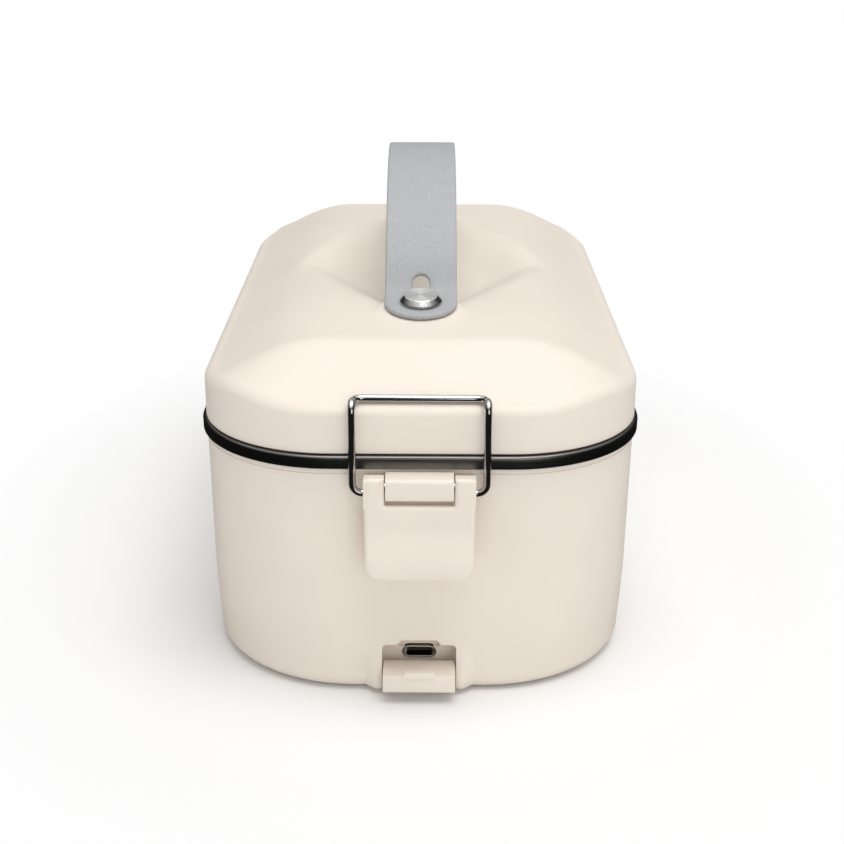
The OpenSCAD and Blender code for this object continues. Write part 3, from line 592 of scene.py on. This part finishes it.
def ramp(t, k):
    """From 0 to 1 in a straight line, with a short round foot and a round crest of half length k."""
    foot = 0.1
    rise = np.where(t < foot, np.maximum(t + foot, 0)**2/(4*foot), t)
    return np.where(t > 1 - k, t - np.minimum(t - 1 + k, 2*k)**2/(4*k) - np.maximum(t - 1 - k, 0), rise)


def lid_height(x, y):
    """Height of the lid's outside: rounded rim, four straight slopes, a roof, hand scoop and stud seats."""
    d = np.clip(inward(x, y), 0, None)
    edge = np.where(d < LID_ROUND, LID_ROUND - np.sqrt(np.maximum(LID_ROUND**2 - (LID_ROUND - d)**2, 0)), 0)
    ends = (lid_l/2 - np.abs(y) - LID_ROUND)/(END_SLOPE - LID_ROUND)
    sides = (lid_w/2 - np.abs(x) - LID_ROUND)/(SIDE_SLOPE - LID_ROUND)
    roof = CROWN_H - ease((np.abs(y) - ROOF_FROM)/ROOF_RUN)
    bowl = ((np.abs(x)/SCOOP_X)**SCOOP_POWER + (np.abs(y)/SCOOP_Y)**SCOOP_POWER)**(1/SCOOP_POWER)
    scoop = SCOOP_D*ease(SCOOP_SHARP*(1 - bowl))
    top = LID_RIM - edge + roof*ramp(sides, SIDE_K)*ramp(ends, CREST_K) - scoop*ease(sides*1.2)
    near = np.hypot(np.maximum(0, np.abs(x) - 2), np.abs(np.abs(y) - STUD_Y))
    seat = SEAT_Z - (np.abs(y) - STUD_Y)*math.tan(SEAT_TILT)
    return top + (seat - top)*ease((SEAT_R + SEAT_BLEND - near)/SEAT_BLEND)


def half_width(y, inset):
    """Half the lid's width at a distance y from its middle."""
    past = np.clip(np.abs(y) - lid_l/2 + lid_r, 0, None)
    r = lid_r - inset
    return lid_w/2 - inset - r + np.sqrt(np.maximum(r*r - past*past, 0))


def lid_grid(inset, drop, rows, cols):
    """Grid over the lid: rows along Y and columns across, both closest together at the edges."""
    y = (lid_l/2 - inset)*np.sin(np.linspace(-np.pi/2, np.pi/2, rows + 1))
    s = np.sin(np.linspace(-np.pi/2, np.pi/2, cols + 1))
    yy = np.repeat(y[:, None], cols + 1, 1)
    xx = half_width(yy, inset)*s[None, :]
    zz = lid_height(xx*(lid_w/2)/(lid_w/2 - inset), yy*(lid_l/2)/(lid_l/2 - inset)) - drop
    return np.stack([xx, yy, zz], -1)


def grid_faces(rows, cols, start=0, flip=False):
    """Quads of a grid of rows by cols cells."""
    r, c = np.meshgrid(np.arange(rows), np.arange(cols), indexing="ij")
    a = start + r*(cols + 1) + c
    quads = np.stack([a, a + 1, a + cols + 2, a + cols + 1], -1).reshape(-1, 4)
    return (quads[:, ::-1] if flip else quads).tolist()


def grid_edge(rows, cols):
    """Indices round the edge of a grid, counter-clockwise seen from above."""
    n = cols + 1
    return np.concatenate([np.arange(cols), np.arange(rows)*n + cols,
                           rows*n + np.arange(cols, 0, -1), np.arange(rows, 0, -1)*n])


LID_ROWS, LID_COLS = 190, 120
outer = lid_grid(0, 0, LID_ROWS, LID_COLS)
inner = lid_grid(LID_WALL, LID_WALL, LID_ROWS, LID_COLS)
edge = grid_edge(LID_ROWS, LID_COLS)
outer_flat, inner_flat = outer.reshape(-1, 3), inner.reshape(-1, 3)
outer_edge, inner_edge = outer_flat[edge], inner_flat[edge]
LIP_ROUND = 0.5
wall_rings = []


def add_wall_ring(ring, height):
    """One level of the lid's wall, all at one height."""
    wall_rings.append(np.c_[ring[:, :2], np.full(len(ring), height)])


for z in np.linspace(LID_RIM - LID_ROUND - 1.5, LID_BOTTOM + LIP_ROUND, 7):
    add_wall_ring(outer_edge, z)
for a in np.radians([30, 60, 90]):
    add_wall_ring(outer_edge + (inner_edge - outer_edge)*(LIP_ROUND/LID_WALL)*(1 - math.cos(a)),
                  LID_BOTTOM + LIP_ROUND*(1 - math.sin(a)))
add_wall_ring(inner_edge, LID_BOTTOM)
points = np.concatenate([outer_flat, inner_flat] + wall_rings)
faces = grid_faces(LID_ROWS, LID_COLS)
faces += grid_faces(LID_ROWS, LID_COLS, len(outer_flat), flip=True)
loops = [edge] + [2*len(outer_flat) + k*len(edge) + np.arange(len(edge)) for k in range(len(wall_rings))]
loops.append(len(outer_flat) + edge)
for upper, lower in zip(loops[:-1], loops[1:]):
    un, ln = np.roll(upper, -1), np.roll(lower, -1)
    faces += np.stack([upper, lower, ln, un], -1).tolist()
lid_shell = link_mesh("lid_outer", points, faces, cream, sharp=45)
finish_piece(lid_shell, "lid", "cream_plastic", "lid_shell")

# Hinge ears
# Two arms at the back of the lid, moulded with it, that hang over the rim beside the base's hinge
# block. Their lower ends are round, about the hinge pin.
hinge_low, hinge_high = node_box("hinge_pin")
AXIS_Y, AXIS_Z = (hinge_low[1] + hinge_high[1])/2, (hinge_low[2] + hinge_high[2])/2
KNUCKLE_R, EAR_W = 3.5, 10.0
EAR_X = node_box("base_hinge")[1][0] + 0.3
EAR_LOW, EAR_TOP = LID_BOTTOM + 3.2, LID_BOTTOM + 9.2
lid_back = lid_l/2 - 1
ear_front = AXIS_Y - KNUCKLE_R + 0.3
ear_view = [(lid_back, EAR_TOP), (lid_back, EAR_LOW), (ear_front, EAR_LOW), (ear_front, AXIS_Z)]
ear_view += arc_points(AXIS_Y, AXIS_Z, KNUCKLE_R, 185, 355, 14)
ear_view += [(AXIS_Y + KNUCKLE_R, AXIS_Z), (AXIS_Y + KNUCKLE_R, EAR_TOP)]


def soft_slab(name, flat, low, high, width, segments):
    """A cream bar along X with its sharp edges rounded."""
    made = slab(name, flat, low, high)
    soften(made, width, segments, angle=50)
    made.data.set_sharp_from_angle(angle=math.radians(45))
    return made


for side, label in ((-1, "hinge_ear_left"), (1, "hinge_ear_right")):
    x0, x1 = sorted((side*EAR_X, side*(EAR_X + EAR_W)))
    finish_piece(soft_slab(label, ear_view, x0, x1, 0.6, 3), "lid", "cream_plastic")

# Strap
# A strip of grey silicone with a stone-like mottle, cut flat with rounded edges and bent in an arch.
# A round-ended slot in each end slides along its stud, so the arch flattens when it is pressed down.


def offset_loop(loop, distance):
    """A closed loop moved inwards (to its left) along the mean of its neighbouring normals."""
    ahead = np.roll(loop, -1, 0) - loop
    ahead /= np.maximum(np.linalg.norm(ahead, axis=1, keepdims=True), 1e-9)
    behind = np.roll(ahead, 1, 0)
    n1 = np.c_[-behind[:, 1], behind[:, 0]]
    n2 = np.c_[-ahead[:, 1], ahead[:, 0]]
    mean = n1 + n2
    length = np.maximum(np.sum(mean*mean, axis=1, keepdims=True)/2, 0.4)
    return loop + distance*mean/length


def inside(points, loop):
    """True for the points that lie inside the closed loop."""
    x, y = points[:, 0:1], points[:, 1:2]
    x0, y0 = loop[:, 0][None], loop[:, 1][None]
    x1, y1 = np.roll(loop[:, 0], -1)[None], np.roll(loop[:, 1], -1)[None]
    crossing = (y0 > y) != (y1 > y)
    with np.errstate(divide="ignore", invalid="ignore"):
        at = x0 + (y - y0)*(x1 - x0)/(y1 - y0)
    return (np.sum(crossing & (x < at), axis=1) % 2).astype(bool)


def near_loop(points, loop, reach):
    """True for the points closer than reach to the loop's corners."""
    gap = np.min(np.linalg.norm(points[:, None] - loop[None], axis=2), axis=1)
    return gap < reach


def plate(name, loops, thickness, edge, spacing, bend, material, open_end=None):
    """A bent plate: loops are its outline and holes, edge the rounding, bend maps (x, s, h) to space.

    thickness is a function of s. Where open_end is given, points with that s get no rounding and
    no end face, so that two plates can meet there.
    """
    angles = np.radians(np.linspace(0, 90, 5))
    levels = [(edge*(1 - math.cos(a)), -1, edge*(1 - math.sin(a))) for a in angles[::-1]]
    levels += [(edge*(1 - math.cos(a)), 1, edge*(1 - math.sin(a))) for a in angles]
    points, faces, flat, under, over = [], [], [], [], []
    start = 0
    for loop in loops:
        end = np.full(len(loop), open_end is not None) & (np.abs(loop[:, 1] - (open_end or 0)) < 1e-6)
        for inset, side, depth in levels:
            ring = offset_loop(loop, inset)
            ring[end, 1] = open_end or 0
            t = thickness(ring[:, 1])
            depth_now = np.minimum(depth, t/2)
            points.append(np.c_[ring, np.where(side < 0, depth_now, t - depth_now)])
        flat.append(ring)
        here = np.arange(len(loop))
        after = np.roll(here, -1)
        closed = ~(end & end[after])
        i, j = here[closed], after[closed]
        for k in range(len(levels) - 1):
            a, b = start + k*len(loop), start + (k + 1)*len(loop)
            faces += np.stack([a + i, a + j, b + j, b + i], -1).tolist()
        under.append(start + here)
        over.append(start + (len(levels) - 1)*len(loop) + here)
        start += len(levels)*len(loop)
    low, high = flat[0].min(0), flat[0].max(0)
    gx, gs = np.meshgrid(np.arange(low[0] + spacing[0]/2, high[0], spacing[0]),
                         np.arange(low[1] + spacing[1]/2, high[1], spacing[1]))
    inner = np.c_[gx.ravel(), gs.ravel()]
    keep = inside(inner, flat[0]) & ~near_loop(inner, flat[0], min(spacing)*0.5)
    for hole in flat[1:]:
        keep &= ~inside(inner, hole) & ~near_loop(inner, hole, min(spacing)*0.5)
    inner = inner[keep]
    edges, at = [], 0
    for loop in flat:
        here = np.arange(len(loop))
        edges += np.c_[at + here, at + np.roll(here, -1)].tolist()
        at += len(loop)
    everything = np.concatenate(flat + [inner])
    verts, _, tris, origin, _, _ = delaunay_2d_cdt([tuple(p) for p in everything], edges, [], 0, 1e-7)
    verts, tris = np.array([tuple(v) for v in verts]), np.array(tris)
    middle = verts[tris].mean(1)
    good = inside(middle, flat[0])
    for hole in flat[1:]:
        good &= ~inside(middle, hole)
    corners = np.array([o[0] if o else -1 for o in origin])[tris[good]]
    corners = corners[(corners >= 0).all(1)]
    points += [np.c_[inner, np.zeros(len(inner))], np.c_[inner, thickness(inner[:, 1])]]
    under = np.concatenate(under + [start + np.arange(len(inner))])
    over = np.concatenate(over + [start + len(inner) + np.arange(len(inner))])
    faces += np.stack([over[corners], under[corners[:, ::-1]]], 1).reshape(-1, 3).tolist()
    flat_points = np.concatenate(points)
    made = link_mesh(name, bend(flat_points), faces, material)
    fix_normals(made)
    return made, flat_points


def fill_in(loop, longest):
    """Adds points so that no side of the loop is longer than the limit."""
    out = []
    for p, q in zip(loop, np.roll(loop, -1, 0)):
        n = max(1, int(math.ceil(np.linalg.norm(q - p)/longest)))
        out += [p + (q - p)*k/n for k in range(n)]
    return np.array(out)


silicone, nodes, links, shader = solid_material("strap_silicone", (0.40, 0.41, 0.42), 0.62)
place = add_grain(nodes, links, shader, 1500, 0.3, 0.00012)
add_mottle(nodes, links, shader, place, (0.36, 0.37, 0.38), (0.44, 0.45, 0.46), 2200)

STRAP_W, STRAP_T, END_T = 20.8, 2.5, 1.4
SLIP = 0.3
STRAP_Z = SEAT_Z + SLIP
STRAP_FLAT = STUD_Y - 7.6
CROWN_UNDER = node_box("strap_crown")[1][2] - STRAP_T
ARCH_FOOT = STRAP_Z + (STUD_Y - STRAP_FLAT)*math.tan(SEAT_TILT)
ARCH_POWER, ARCH_FULL = 2.1, 0.92
TAIL_L = 34
SMOOTH_STEP, SMOOTH_WIDTH = 0.1, 22
END_SHIFT = 0.6
SLOT_HALF, SLOT_L = 2.45, 13.0


def strap_line():
    """Underside of half the strap as (y, z) over its length, from the middle to the end.

    The arch falls with a power of y to its foot, a straight tail follows the leaning seat, and a
    bell-shaped mean along the line rounds the bend between them.
    """
    y = np.linspace(0, STRAP_FLAT, 900)
    arch = ARCH_FOOT + (CROWN_UNDER - ARCH_FOOT)*np.maximum(0, 1 - (y/STRAP_FLAT)**ARCH_POWER)**ARCH_FULL
    tail = np.linspace(0.05, TAIL_L, 460)
    ty = STRAP_FLAT + tail*math.cos(SEAT_TILT)
    tz = ARCH_FOOT - tail*math.sin(SEAT_TILT)
    line = np.c_[np.r_[y, ty], np.r_[arch, tz]]
    mirror = line[1:300][::-1]*[-1, 1]
    line = np.r_[mirror, line]
    s = np.r_[0, np.cumsum(np.linalg.norm(np.diff(line, axis=0), axis=1))]
    even = np.arange(0, s[-1], SMOOTH_STEP)
    line = np.c_[np.interp(even, s, line[:, 0]), np.interp(even, s, line[:, 1])]
    bell = np.exp(-0.5*(np.arange(-3*SMOOTH_WIDTH, 3*SMOOTH_WIDTH + 1)/SMOOTH_WIDTH)**2)
    bell /= bell.sum()
    inner = np.c_[np.convolve(line[:, 0], bell, "valid"), np.convolve(line[:, 1], bell, "valid")]
    start = int(np.argmin(np.abs(inner[:, 0])))
    inner = inner[start:]
    inner[:, 0] -= inner[0, 0]
    s = np.r_[0, np.cumsum(np.linalg.norm(np.diff(inner, axis=0), axis=1))]
    return inner, s


strap_curve, strap_s = strap_line()
stud_s = float(np.interp(STUD_Y, strap_curve[:, 0], strap_s))
END_S = stud_s - END_SHIFT
strap_tangent = np.gradient(strap_curve, strap_s, axis=0)
strap_tangent /= np.linalg.norm(strap_tangent, axis=1, keepdims=True)


def strap_thickness(s):
    """Full thickness over the arch, thinner under the stud."""
    return END_T + (STRAP_T - END_T)*ease((stud_s - 8 - s)/12)


def strap_bend(side):
    """Mapping from flat (x, s, h) to space for the front (-1) or the rear (1) half."""
    def bend(p):
        y = np.interp(p[:, 1], strap_s, strap_curve[:, 0])
        z = np.interp(p[:, 1], strap_s, strap_curve[:, 1])
        ty = np.interp(p[:, 1], strap_s, strap_tangent[:, 0])
        tz = np.interp(p[:, 1], strap_s, strap_tangent[:, 1])
        return np.c_[p[:, 0], side*(y - p[:, 2]*tz), z + p[:, 2]*ty]
    return bend


SLOT_TOP = stud_s - SLOT_L
half_turn = np.linspace(0, math.pi, 33)
strap_loop = np.r_[[[-STRAP_W/2, 0.0], [STRAP_W/2, 0.0]],
                   np.c_[STRAP_W/2*np.cos(half_turn), END_S + STRAP_W/2*np.sin(half_turn)]]
strap_loop = fill_in(strap_loop, 1.2)
slot_x, slot_s = SLOT_HALF*np.cos(half_turn), SLOT_HALF*np.sin(half_turn)
slot_loop = np.r_[np.c_[slot_x, stud_s + slot_s], np.c_[-slot_x, SLOT_TOP + SLOT_HALF - slot_s]][::-1]
slot_loop = fill_in(slot_loop, 1.0)
for side, label, stood_for in ((-1, "strap_front", ("strap_front_end", "strap_crown")),
                               (1, "strap_rear", ("strap_rear_end",))):
    half, flat = plate(label, [strap_loop, slot_loop], strap_thickness, 0.6, (1.5, 1.0),
                       strap_bend(side), silicone, open_end=0.0)
    uv = half.data.uv_layers.new(name="strip")
    index = np.zeros(len(half.data.loops), int)
    half.data.loops.foreach_get("vertex_index", index)
    uv.data.foreach_set("uv", (flat[index][:, :2]*MM).ravel())
    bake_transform(half)
    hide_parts(*stood_for)

# Strap studs
# Turned steel heads with a bevelled edge. Their tops are faced, so light fans over them. Their rim, side and
# underside take a darker copy of the same steel, a painted shade.
stud_steel, nodes, links, shader = solid_material("stud_steel", (0.80, 0.79, 0.77), 0.24, 1.0)
turned = nodes.new("ShaderNodeTangent")
turned.direction_type = "UV_MAP"
turned.uv_map = "turned"
shader.inputs["Anisotropic"].default_value = 0.9
shader.inputs["Anisotropic Rotation"].default_value = 0.25
links.new(turned.outputs["Tangent"], shader.inputs["Tangent"])
STUD_R, HEAD_H, SHANK_R = 6.0, 2.1, 2.3
SPOKES, TOP_FACES = 96, 5
under_head = SLIP + END_T + 0.1
stud_top = under_head + HEAD_H
stud_profile = [(0.0, stud_top), (1.0, stud_top), (2.5, stud_top), (4.0, stud_top), (4.78, stud_top)]
stud_profile += [(4.9, stud_top - 0.06), (5.9, under_head + 0.75), (STUD_R, under_head + 0.6)]
stud_profile += [(STUD_R, under_head + 0.12), (5.9, under_head), (SHANK_R, under_head), (SHANK_R, 0.0)]
# A darker copy of the stud steel for the rim, side and underside: painted shade standing for their darker
# reflection.
stud_side_painted_shade, nodes, links, shader = solid_material("stud_side_painted_shade", (0.34, 0.33, 0.32), 0.2, 1.0)
add_grain(nodes, links, shader, 2500, 0.05, 0.00003)


def place_on_seat(points, side):
    """From seat coordinates to the leaning seat of the front (-1) or rear (1) stud."""
    c, s = math.cos(SEAT_TILT), math.sin(SEAT_TILT)
    y = points[:, 1]*c + side*points[:, 2]*s
    z = -side*points[:, 1]*s + points[:, 2]*c
    return np.c_[points[:, 0], y + side*STUD_Y, z + SEAT_Z]


turn = np.arange(SPOKES)*2*math.pi/SPOKES
stud_points = [np.c_[r*np.cos(turn), r*np.sin(turn), np.full(SPOKES, z)] for r, z in stud_profile[1:]]
stud_points = np.concatenate(stud_points + [np.array([[0, 0, stud_top]])])
tip = len(stud_points) - 1
stud_faces = ring_faces(len(stud_profile) - 1, SPOKES, flip=True)
stud_faces += [(k, (k + 1) % SPOKES, tip) for k in range(SPOKES)]
painted_shade_faces = range(TOP_FACES*SPOKES, (len(stud_profile) - 2)*SPOKES)
column = np.concatenate([np.full(len(face), k % SPOKES) for k, face in enumerate(stud_faces)])
for side, label in ((-1, "stud_front"), (1, "stud_rear")):
    stud = link_mesh(label, place_on_seat(stud_points, side), stud_faces, stud_steel, sharp=25)
    stud.data.materials.append(stud_side_painted_shade)
    # The rim, side and underside faces take the painted shade.
    for k in painted_shade_faces:
        stud.data.polygons[k].material_index = 1
    corner = np.zeros(len(stud.data.loops), int)
    stud.data.loops.foreach_get("vertex_index", corner)
    # U is the turn around the stud and V the radius, so that the tangent runs round it.
    spoke = np.where(corner == tip, column + 0.5, np.where(corner % SPOKES == column, column, column + 1))
    radius = np.hypot(stud_points[corner, 0], stud_points[corner, 1])
    uv = stud.data.uv_layers.new(name="turned")
    uv.data.foreach_set("uv", np.c_[spoke/SPOKES, radius/10].ravel())
    if side < 0:
        finish_piece(stud, "lid", "tray_steel", "strap_studs")
    else:
        finish_piece(stud, "lid", "tray_steel")

# Latch lever
# One moulding: a plate that kicks out at its tip for a finger, cut away at the top for the
# bracket block, with two cheeks that turn on the steel pin and hold the wire's ends.
PIVOT_Y, PIVOT_Z = -base_l/2 - 4.05, node_box("lever_pin")[0][2] + 1.25
WIRE_Y, WIRE_Z = -base_l/2 - 2.65, BASE_TOP - 6.0
CHEEK_R = 3.3
LEVER_W, LEVER_L, LEVER_T = 29.8, 24.5, 2.6
KICK, KICK_FROM, KICK_RUN = 2.4, 0.42, 0.5
TIP_SAG, EDGE_FALL = 0.5, 0.35
NOTCH_HALF = 9.3
NOTCH_Z = PIVOT_Z - CHEEK_R - 1.1
lever_top = PIVOT_Z + CHEEK_R
lever_low = PIVOT_Z - LEVER_L
half = LEVER_W/2
corners = [(-half + 0.5, lever_low), (half - 0.5, lever_low), (half, lever_top),
           (NOTCH_HALF, lever_top), (NOTCH_HALF, NOTCH_Z), (-NOTCH_HALF, NOTCH_Z),
           (-NOTCH_HALF, lever_top), (-half, lever_top)]


def round_corners(corners, radii, steps=8):
    """Closed loop through corners, each rounded with its radius."""
    loop = []
    count = len(corners)
    for k in range(count):
        p = np.array(corners[k], float)
        a = np.array(corners[k - 1], float) - p
        b = np.array(corners[(k + 1) % count], float) - p
        a /= np.linalg.norm(a)
        b /= np.linalg.norm(b)
        radius = radii[k]
        half = math.acos(np.clip(np.dot(a, b), -1, 1))/2
        if radius <= 0:
            loop.append(p)
            continue
        reach = radius/math.tan(half)
        centre = p + (a + b)/np.linalg.norm(a + b)*radius/math.sin(half)
        start, end = p + a*reach - centre, p + b*reach - centre
        a0, a1 = math.atan2(start[1], start[0]), math.atan2(end[1], end[0])
        turn = (a1 - a0 + math.pi) % (2*math.pi) - math.pi
        loop += [centre + radius*np.array([math.cos(a0 + turn*t), math.sin(a0 + turn*t)])
                 for t in np.linspace(0, 1, steps + 1)]
    return np.array(loop)


lever_loop = fill_in(round_corners(corners, [3.4, 3.4, 1.6, 0.4, 0.5, 0.5, 0.4, 1.6]), 0.9)


def lever_bend(p):
    """Front face of the lever: flat, kicking out smoothly towards its tip; h runs back to front."""
    t = (PIVOT_Z - p[:, 1])/LEVER_L
    out = KICK*ease((t - KICK_FROM)/KICK_RUN)
    sag = TIP_SAG*np.clip(1 - (p[:, 0]/half)**2, 0, 1)*ease((t - 0.7)/0.3)
    crown = EDGE_FALL*(p[:, 0]/half)**4
    y = PIVOT_Y - CHEEK_R + LEVER_T - p[:, 2] - out + crown*(p[:, 2]/LEVER_T)
    return np.c_[p[:, 0], y, p[:, 1] - sag]


def even_lever(s):
    """The lever's plate has one thickness."""
    return np.full(len(s), LEVER_T)


lever, _ = plate("lever_plate", [lever_loop], even_lever, 1.1, (1.2, 0.6), lever_bend, cream)


def join(pieces, name):
    """Joins finished meshes into the first one."""
    for other in bpy.context.selected_objects:
        other.select_set(False)
    for piece in pieces:
        piece.select_set(True)
    bpy.context.view_layer.objects.active = pieces[0]
    bpy.ops.object.join()
    pieces[0].name = name
    return pieces[0]


side_view = [(-CHEEK_R + 0.4, lever_top - 0.4), (1.2, lever_top - 0.4)]
side_view += [(CHEEK_R, PIVOT_Z + 1.2 + CHEEK_R*0.3), (CHEEK_R, WIRE_Z - 0.6)]
side_view += [(1.2, WIRE_Z - 2.4), (-CHEEK_R + 0.4, WIRE_Z - 3.2)]
cheek_view = round_corners(side_view, [0.6, 1.6, 1.4, 1.6, 1.6, 0.6], 5) + [PIVOT_Y, 0]
cheeks = []
for side in (-1, 1):
    x0, x1 = sorted((side*(half - 0.05), side*(NOTCH_HALF + 0.05)))
    cheeks.append(soft_slab("cheek", cheek_view, x0, x1, 0.3, 2))
lever = join([lever] + cheeks, "lever")
finish_piece(lever, "lever", "cream_plastic", "latch_lever")

# Bracket block
# The moulded block on the base that carries the lever's pin between the cheeks. Two screws hold it
# from inside the base.
BLOCK_HALF = 9.0
BLOCK_BACK = 4.06
block_top = PIVOT_Z + CHEEK_R - 0.2
block_low = PIVOT_Z - CHEEK_R
block_foot = PIVOT_Z - 6
side_view = [(-CHEEK_R, block_top), (-CHEEK_R, block_low), (0.6, block_low), (1.0, block_foot)]
side_view += [(BLOCK_BACK, block_foot), (BLOCK_BACK, block_top - 0.5), (3.0, block_top)]
block_view = round_corners(side_view, [1.1, 1.9, 0.1, 0.3, 0.05, 0.05, 0.5], 6) + [PIVOT_Y, 0]
block = soft_slab("bracket", block_view, -BLOCK_HALF, BLOCK_HALF, 0.35, 3)
finish_piece(block, "base", "cream_plastic", "latch_bracket")

# Latch wire
# Polished steel wire bent in one bail. Its two ends turn in the lever's cheeks, and its bar catches
# the lid over the rim.
wire_steel, nodes, links, shader = solid_material("wire_steel", (0.52, 0.515, 0.51), 0.12, 1.0)
add_grain(nodes, links, shader, 900, 0.06, 0.00005)
WIRE_R = 1.0
BAIL_HALF = 17.8
BAR_Z = LID_RIM + 0.7 + WIRE_R
BEND_BACK, BAR_BEND, LOW_BEND = 2.4, 2.8, 2.7
IN_CHEEK = 10.9


def arc_3d(centre, u, v, radius):
    """Quarter arc in space from direction u to direction v about the centre."""
    a = np.linspace(0, math.pi/2, 13)[:, None]
    return np.array(centre) + radius*(np.cos(a)*np.array(u) + np.sin(a)*np.array(v))


def straight(start, end, steps):
    """Evenly spaced points from start to end."""
    return np.linspace(start, end, steps)


bar_y = WIRE_Y + BEND_BACK
half_path = [straight((IN_CHEEK, WIRE_Y, WIRE_Z), (13.0, WIRE_Y, WIRE_Z), 2)]
half_path.append(arc_3d((BAIL_HALF - LOW_BEND, WIRE_Y, WIRE_Z + LOW_BEND), (0, 0, -1), (1, 0, 0), LOW_BEND))
half_path.append(straight((BAIL_HALF, WIRE_Y, WIRE_Z + LOW_BEND + 1),
                          (BAIL_HALF, WIRE_Y, BAR_Z - BEND_BACK - 1), 16))
half_path.append(arc_3d((BAIL_HALF, bar_y, BAR_Z - BEND_BACK), (0, -1, 0), (0, 0, 1), BEND_BACK))
half_path.append(arc_3d((BAIL_HALF - BAR_BEND, bar_y, BAR_Z), (1, 0, 0), (0, 1, 0), BAR_BEND)[1:])
half_path = np.concatenate(half_path)
bar_end = BAIL_HALF - BAR_BEND - 1
bar = straight((bar_end, bar_y + BAR_BEND, BAR_Z), (-bar_end, bar_y + BAR_BEND, BAR_Z), 12)
wire_path = np.concatenate([half_path, bar, half_path[::-1]*[-1, 1, 1]])


def tube(name, path, radius, material):
    """Round bar along a path, with closed ends: each ring's frame is the last one's, turned least."""
    around = 20
    t = np.gradient(path, axis=0)
    t /= np.linalg.norm(t, axis=1, keepdims=True)
    side = np.cross(t[0], [0, 1, 0])
    side /= np.linalg.norm(side)
    rings = []
    for p, d in zip(path, t):
        side = side - d*np.dot(side, d)
        side /= np.linalg.norm(side)
        up = np.cross(d, side)
        a = np.arange(around)*2*math.pi/around
        rings.append(p + radius*(np.cos(a)[:, None]*side + np.sin(a)[:, None]*up))
    points = np.concatenate(rings)
    faces = ring_faces(len(path), around)
    faces += [tuple(range(around))[::-1], tuple(range(len(points) - around, len(points)))]
    made = link_mesh(name, points, faces, material)
    fix_normals(made)
    made.data.set_sharp_from_angle(angle=math.radians(60))
    return made


bail = tube("latch_wire", wire_path, WIRE_R, wire_steel)
finish_piece(bail, "bail", "wire_steel", "bail_wire")

# Charging door
# Shown open: a moulded block with a finger ridge at its free edge. It turns on a steel pin at the
# foot of the pocket, and shut it fills the pocket.
DOOR_T = 5.0
DOOR_TOP = door_low[2] + DOOR_T
DOOR_FRONT = PIN_Y - DOOR_L
RIDGE_H = 1.1
door = rounded_box("door_block", (-DOOR_W/2, DOOR_FRONT, door_low[2]),
                   (DOOR_W/2, PIN_Y + 0.7, DOOR_TOP), 0.25)
ridge_low, ridge_top = DOOR_TOP - 0.8, DOOR_TOP + RIDGE_H
ridge_view = [(-5.0, ridge_low), (5.0, ridge_low), (4.0, ridge_top), (-4.0, ridge_top)]
ridge = slab("ridge", ridge_view, DOOR_FRONT - 0.3, DOOR_FRONT + 2.3, along_x=False)
soften(ridge, 0.3, 3, angle=30)
door = join([door, ridge], "port_door")
finish_piece(door, "door", "cream_plastic", "port_door")

# Other pieces
# The small and inner pieces, such as screws, pins, seals, boards and cells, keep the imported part's
# own meshes. Each takes its finish from its slot.
# Each look is a colour, its roughness, how metallic it is, and how strong its grain is.
SLOT_LOOKS = {
    "inner_plastic": ((0.80, 0.78, 0.74), 0.45, 0.0, 0.1),
    "zinc_steel": ((0.55, 0.55, 0.56), 0.32, 1.0, 0.05),
    "seal_silicone": ((0.66, 0.66, 0.66), 0.6, 0.0, 0.15),
    "foot_rubber": ((0.05, 0.05, 0.05), 0.75, 0.0, 0.3),
    "heater_aluminium": ((0.72, 0.72, 0.73), 0.35, 1.0, 0.1),
    "heating_film": ((0.42, 0.16, 0.05), 0.5, 0.0, 0.2),
    "insulation": ((0.86, 0.86, 0.84), 0.9, 0.0, 0.8),
    "sensor_epoxy": ((0.20, 0.09, 0.04), 0.2, 0.0, 0.05),
    "fuse_case": ((0.62, 0.50, 0.28), 0.3, 1.0, 0.05),
    "cell_wrap": ((0.06, 0.26, 0.17), 0.35, 0.0, 0.05),
    "holder_plastic": ((0.04, 0.04, 0.04), 0.5, 0.0, 0.2),
    "nickel": ((0.66, 0.65, 0.62), 0.26, 1.0, 0.05),
    "circuit_board": ((0.02, 0.15, 0.07), 0.35, 0.0, 0.1),
    "black_plastic": ((0.025, 0.025, 0.025), 0.4, 0.0, 0.1),
    "wire_cover": ((0.45, 0.04, 0.035), 0.4, 0.0, 0.05),
}
# Pieces with the tray_steel slot take the band's steel with its painted dark reflection.
finishes = {"cream_plastic": cream, "tray_steel": steel}
for name, (colour, roughness, metallic, grain) in SLOT_LOOKS.items():
    finishes[name], nodes, links, shader = solid_material(name, colour, roughness, metallic)
    place = add_grain(nodes, links, shader, 1800, grain, 0.00008)
    add_mottle(nodes, links, shader, place, *around_colour(colour, 0.985, 1.01), 90)
for part in frame["record"]["subparts"]:
    node = frame["nodes"].get(part["node"])
    if node is None or part["material_slot"] not in finishes:
        continue
    node.data.materials.clear()
    node.data.materials.append(finishes[part["material_slot"]])
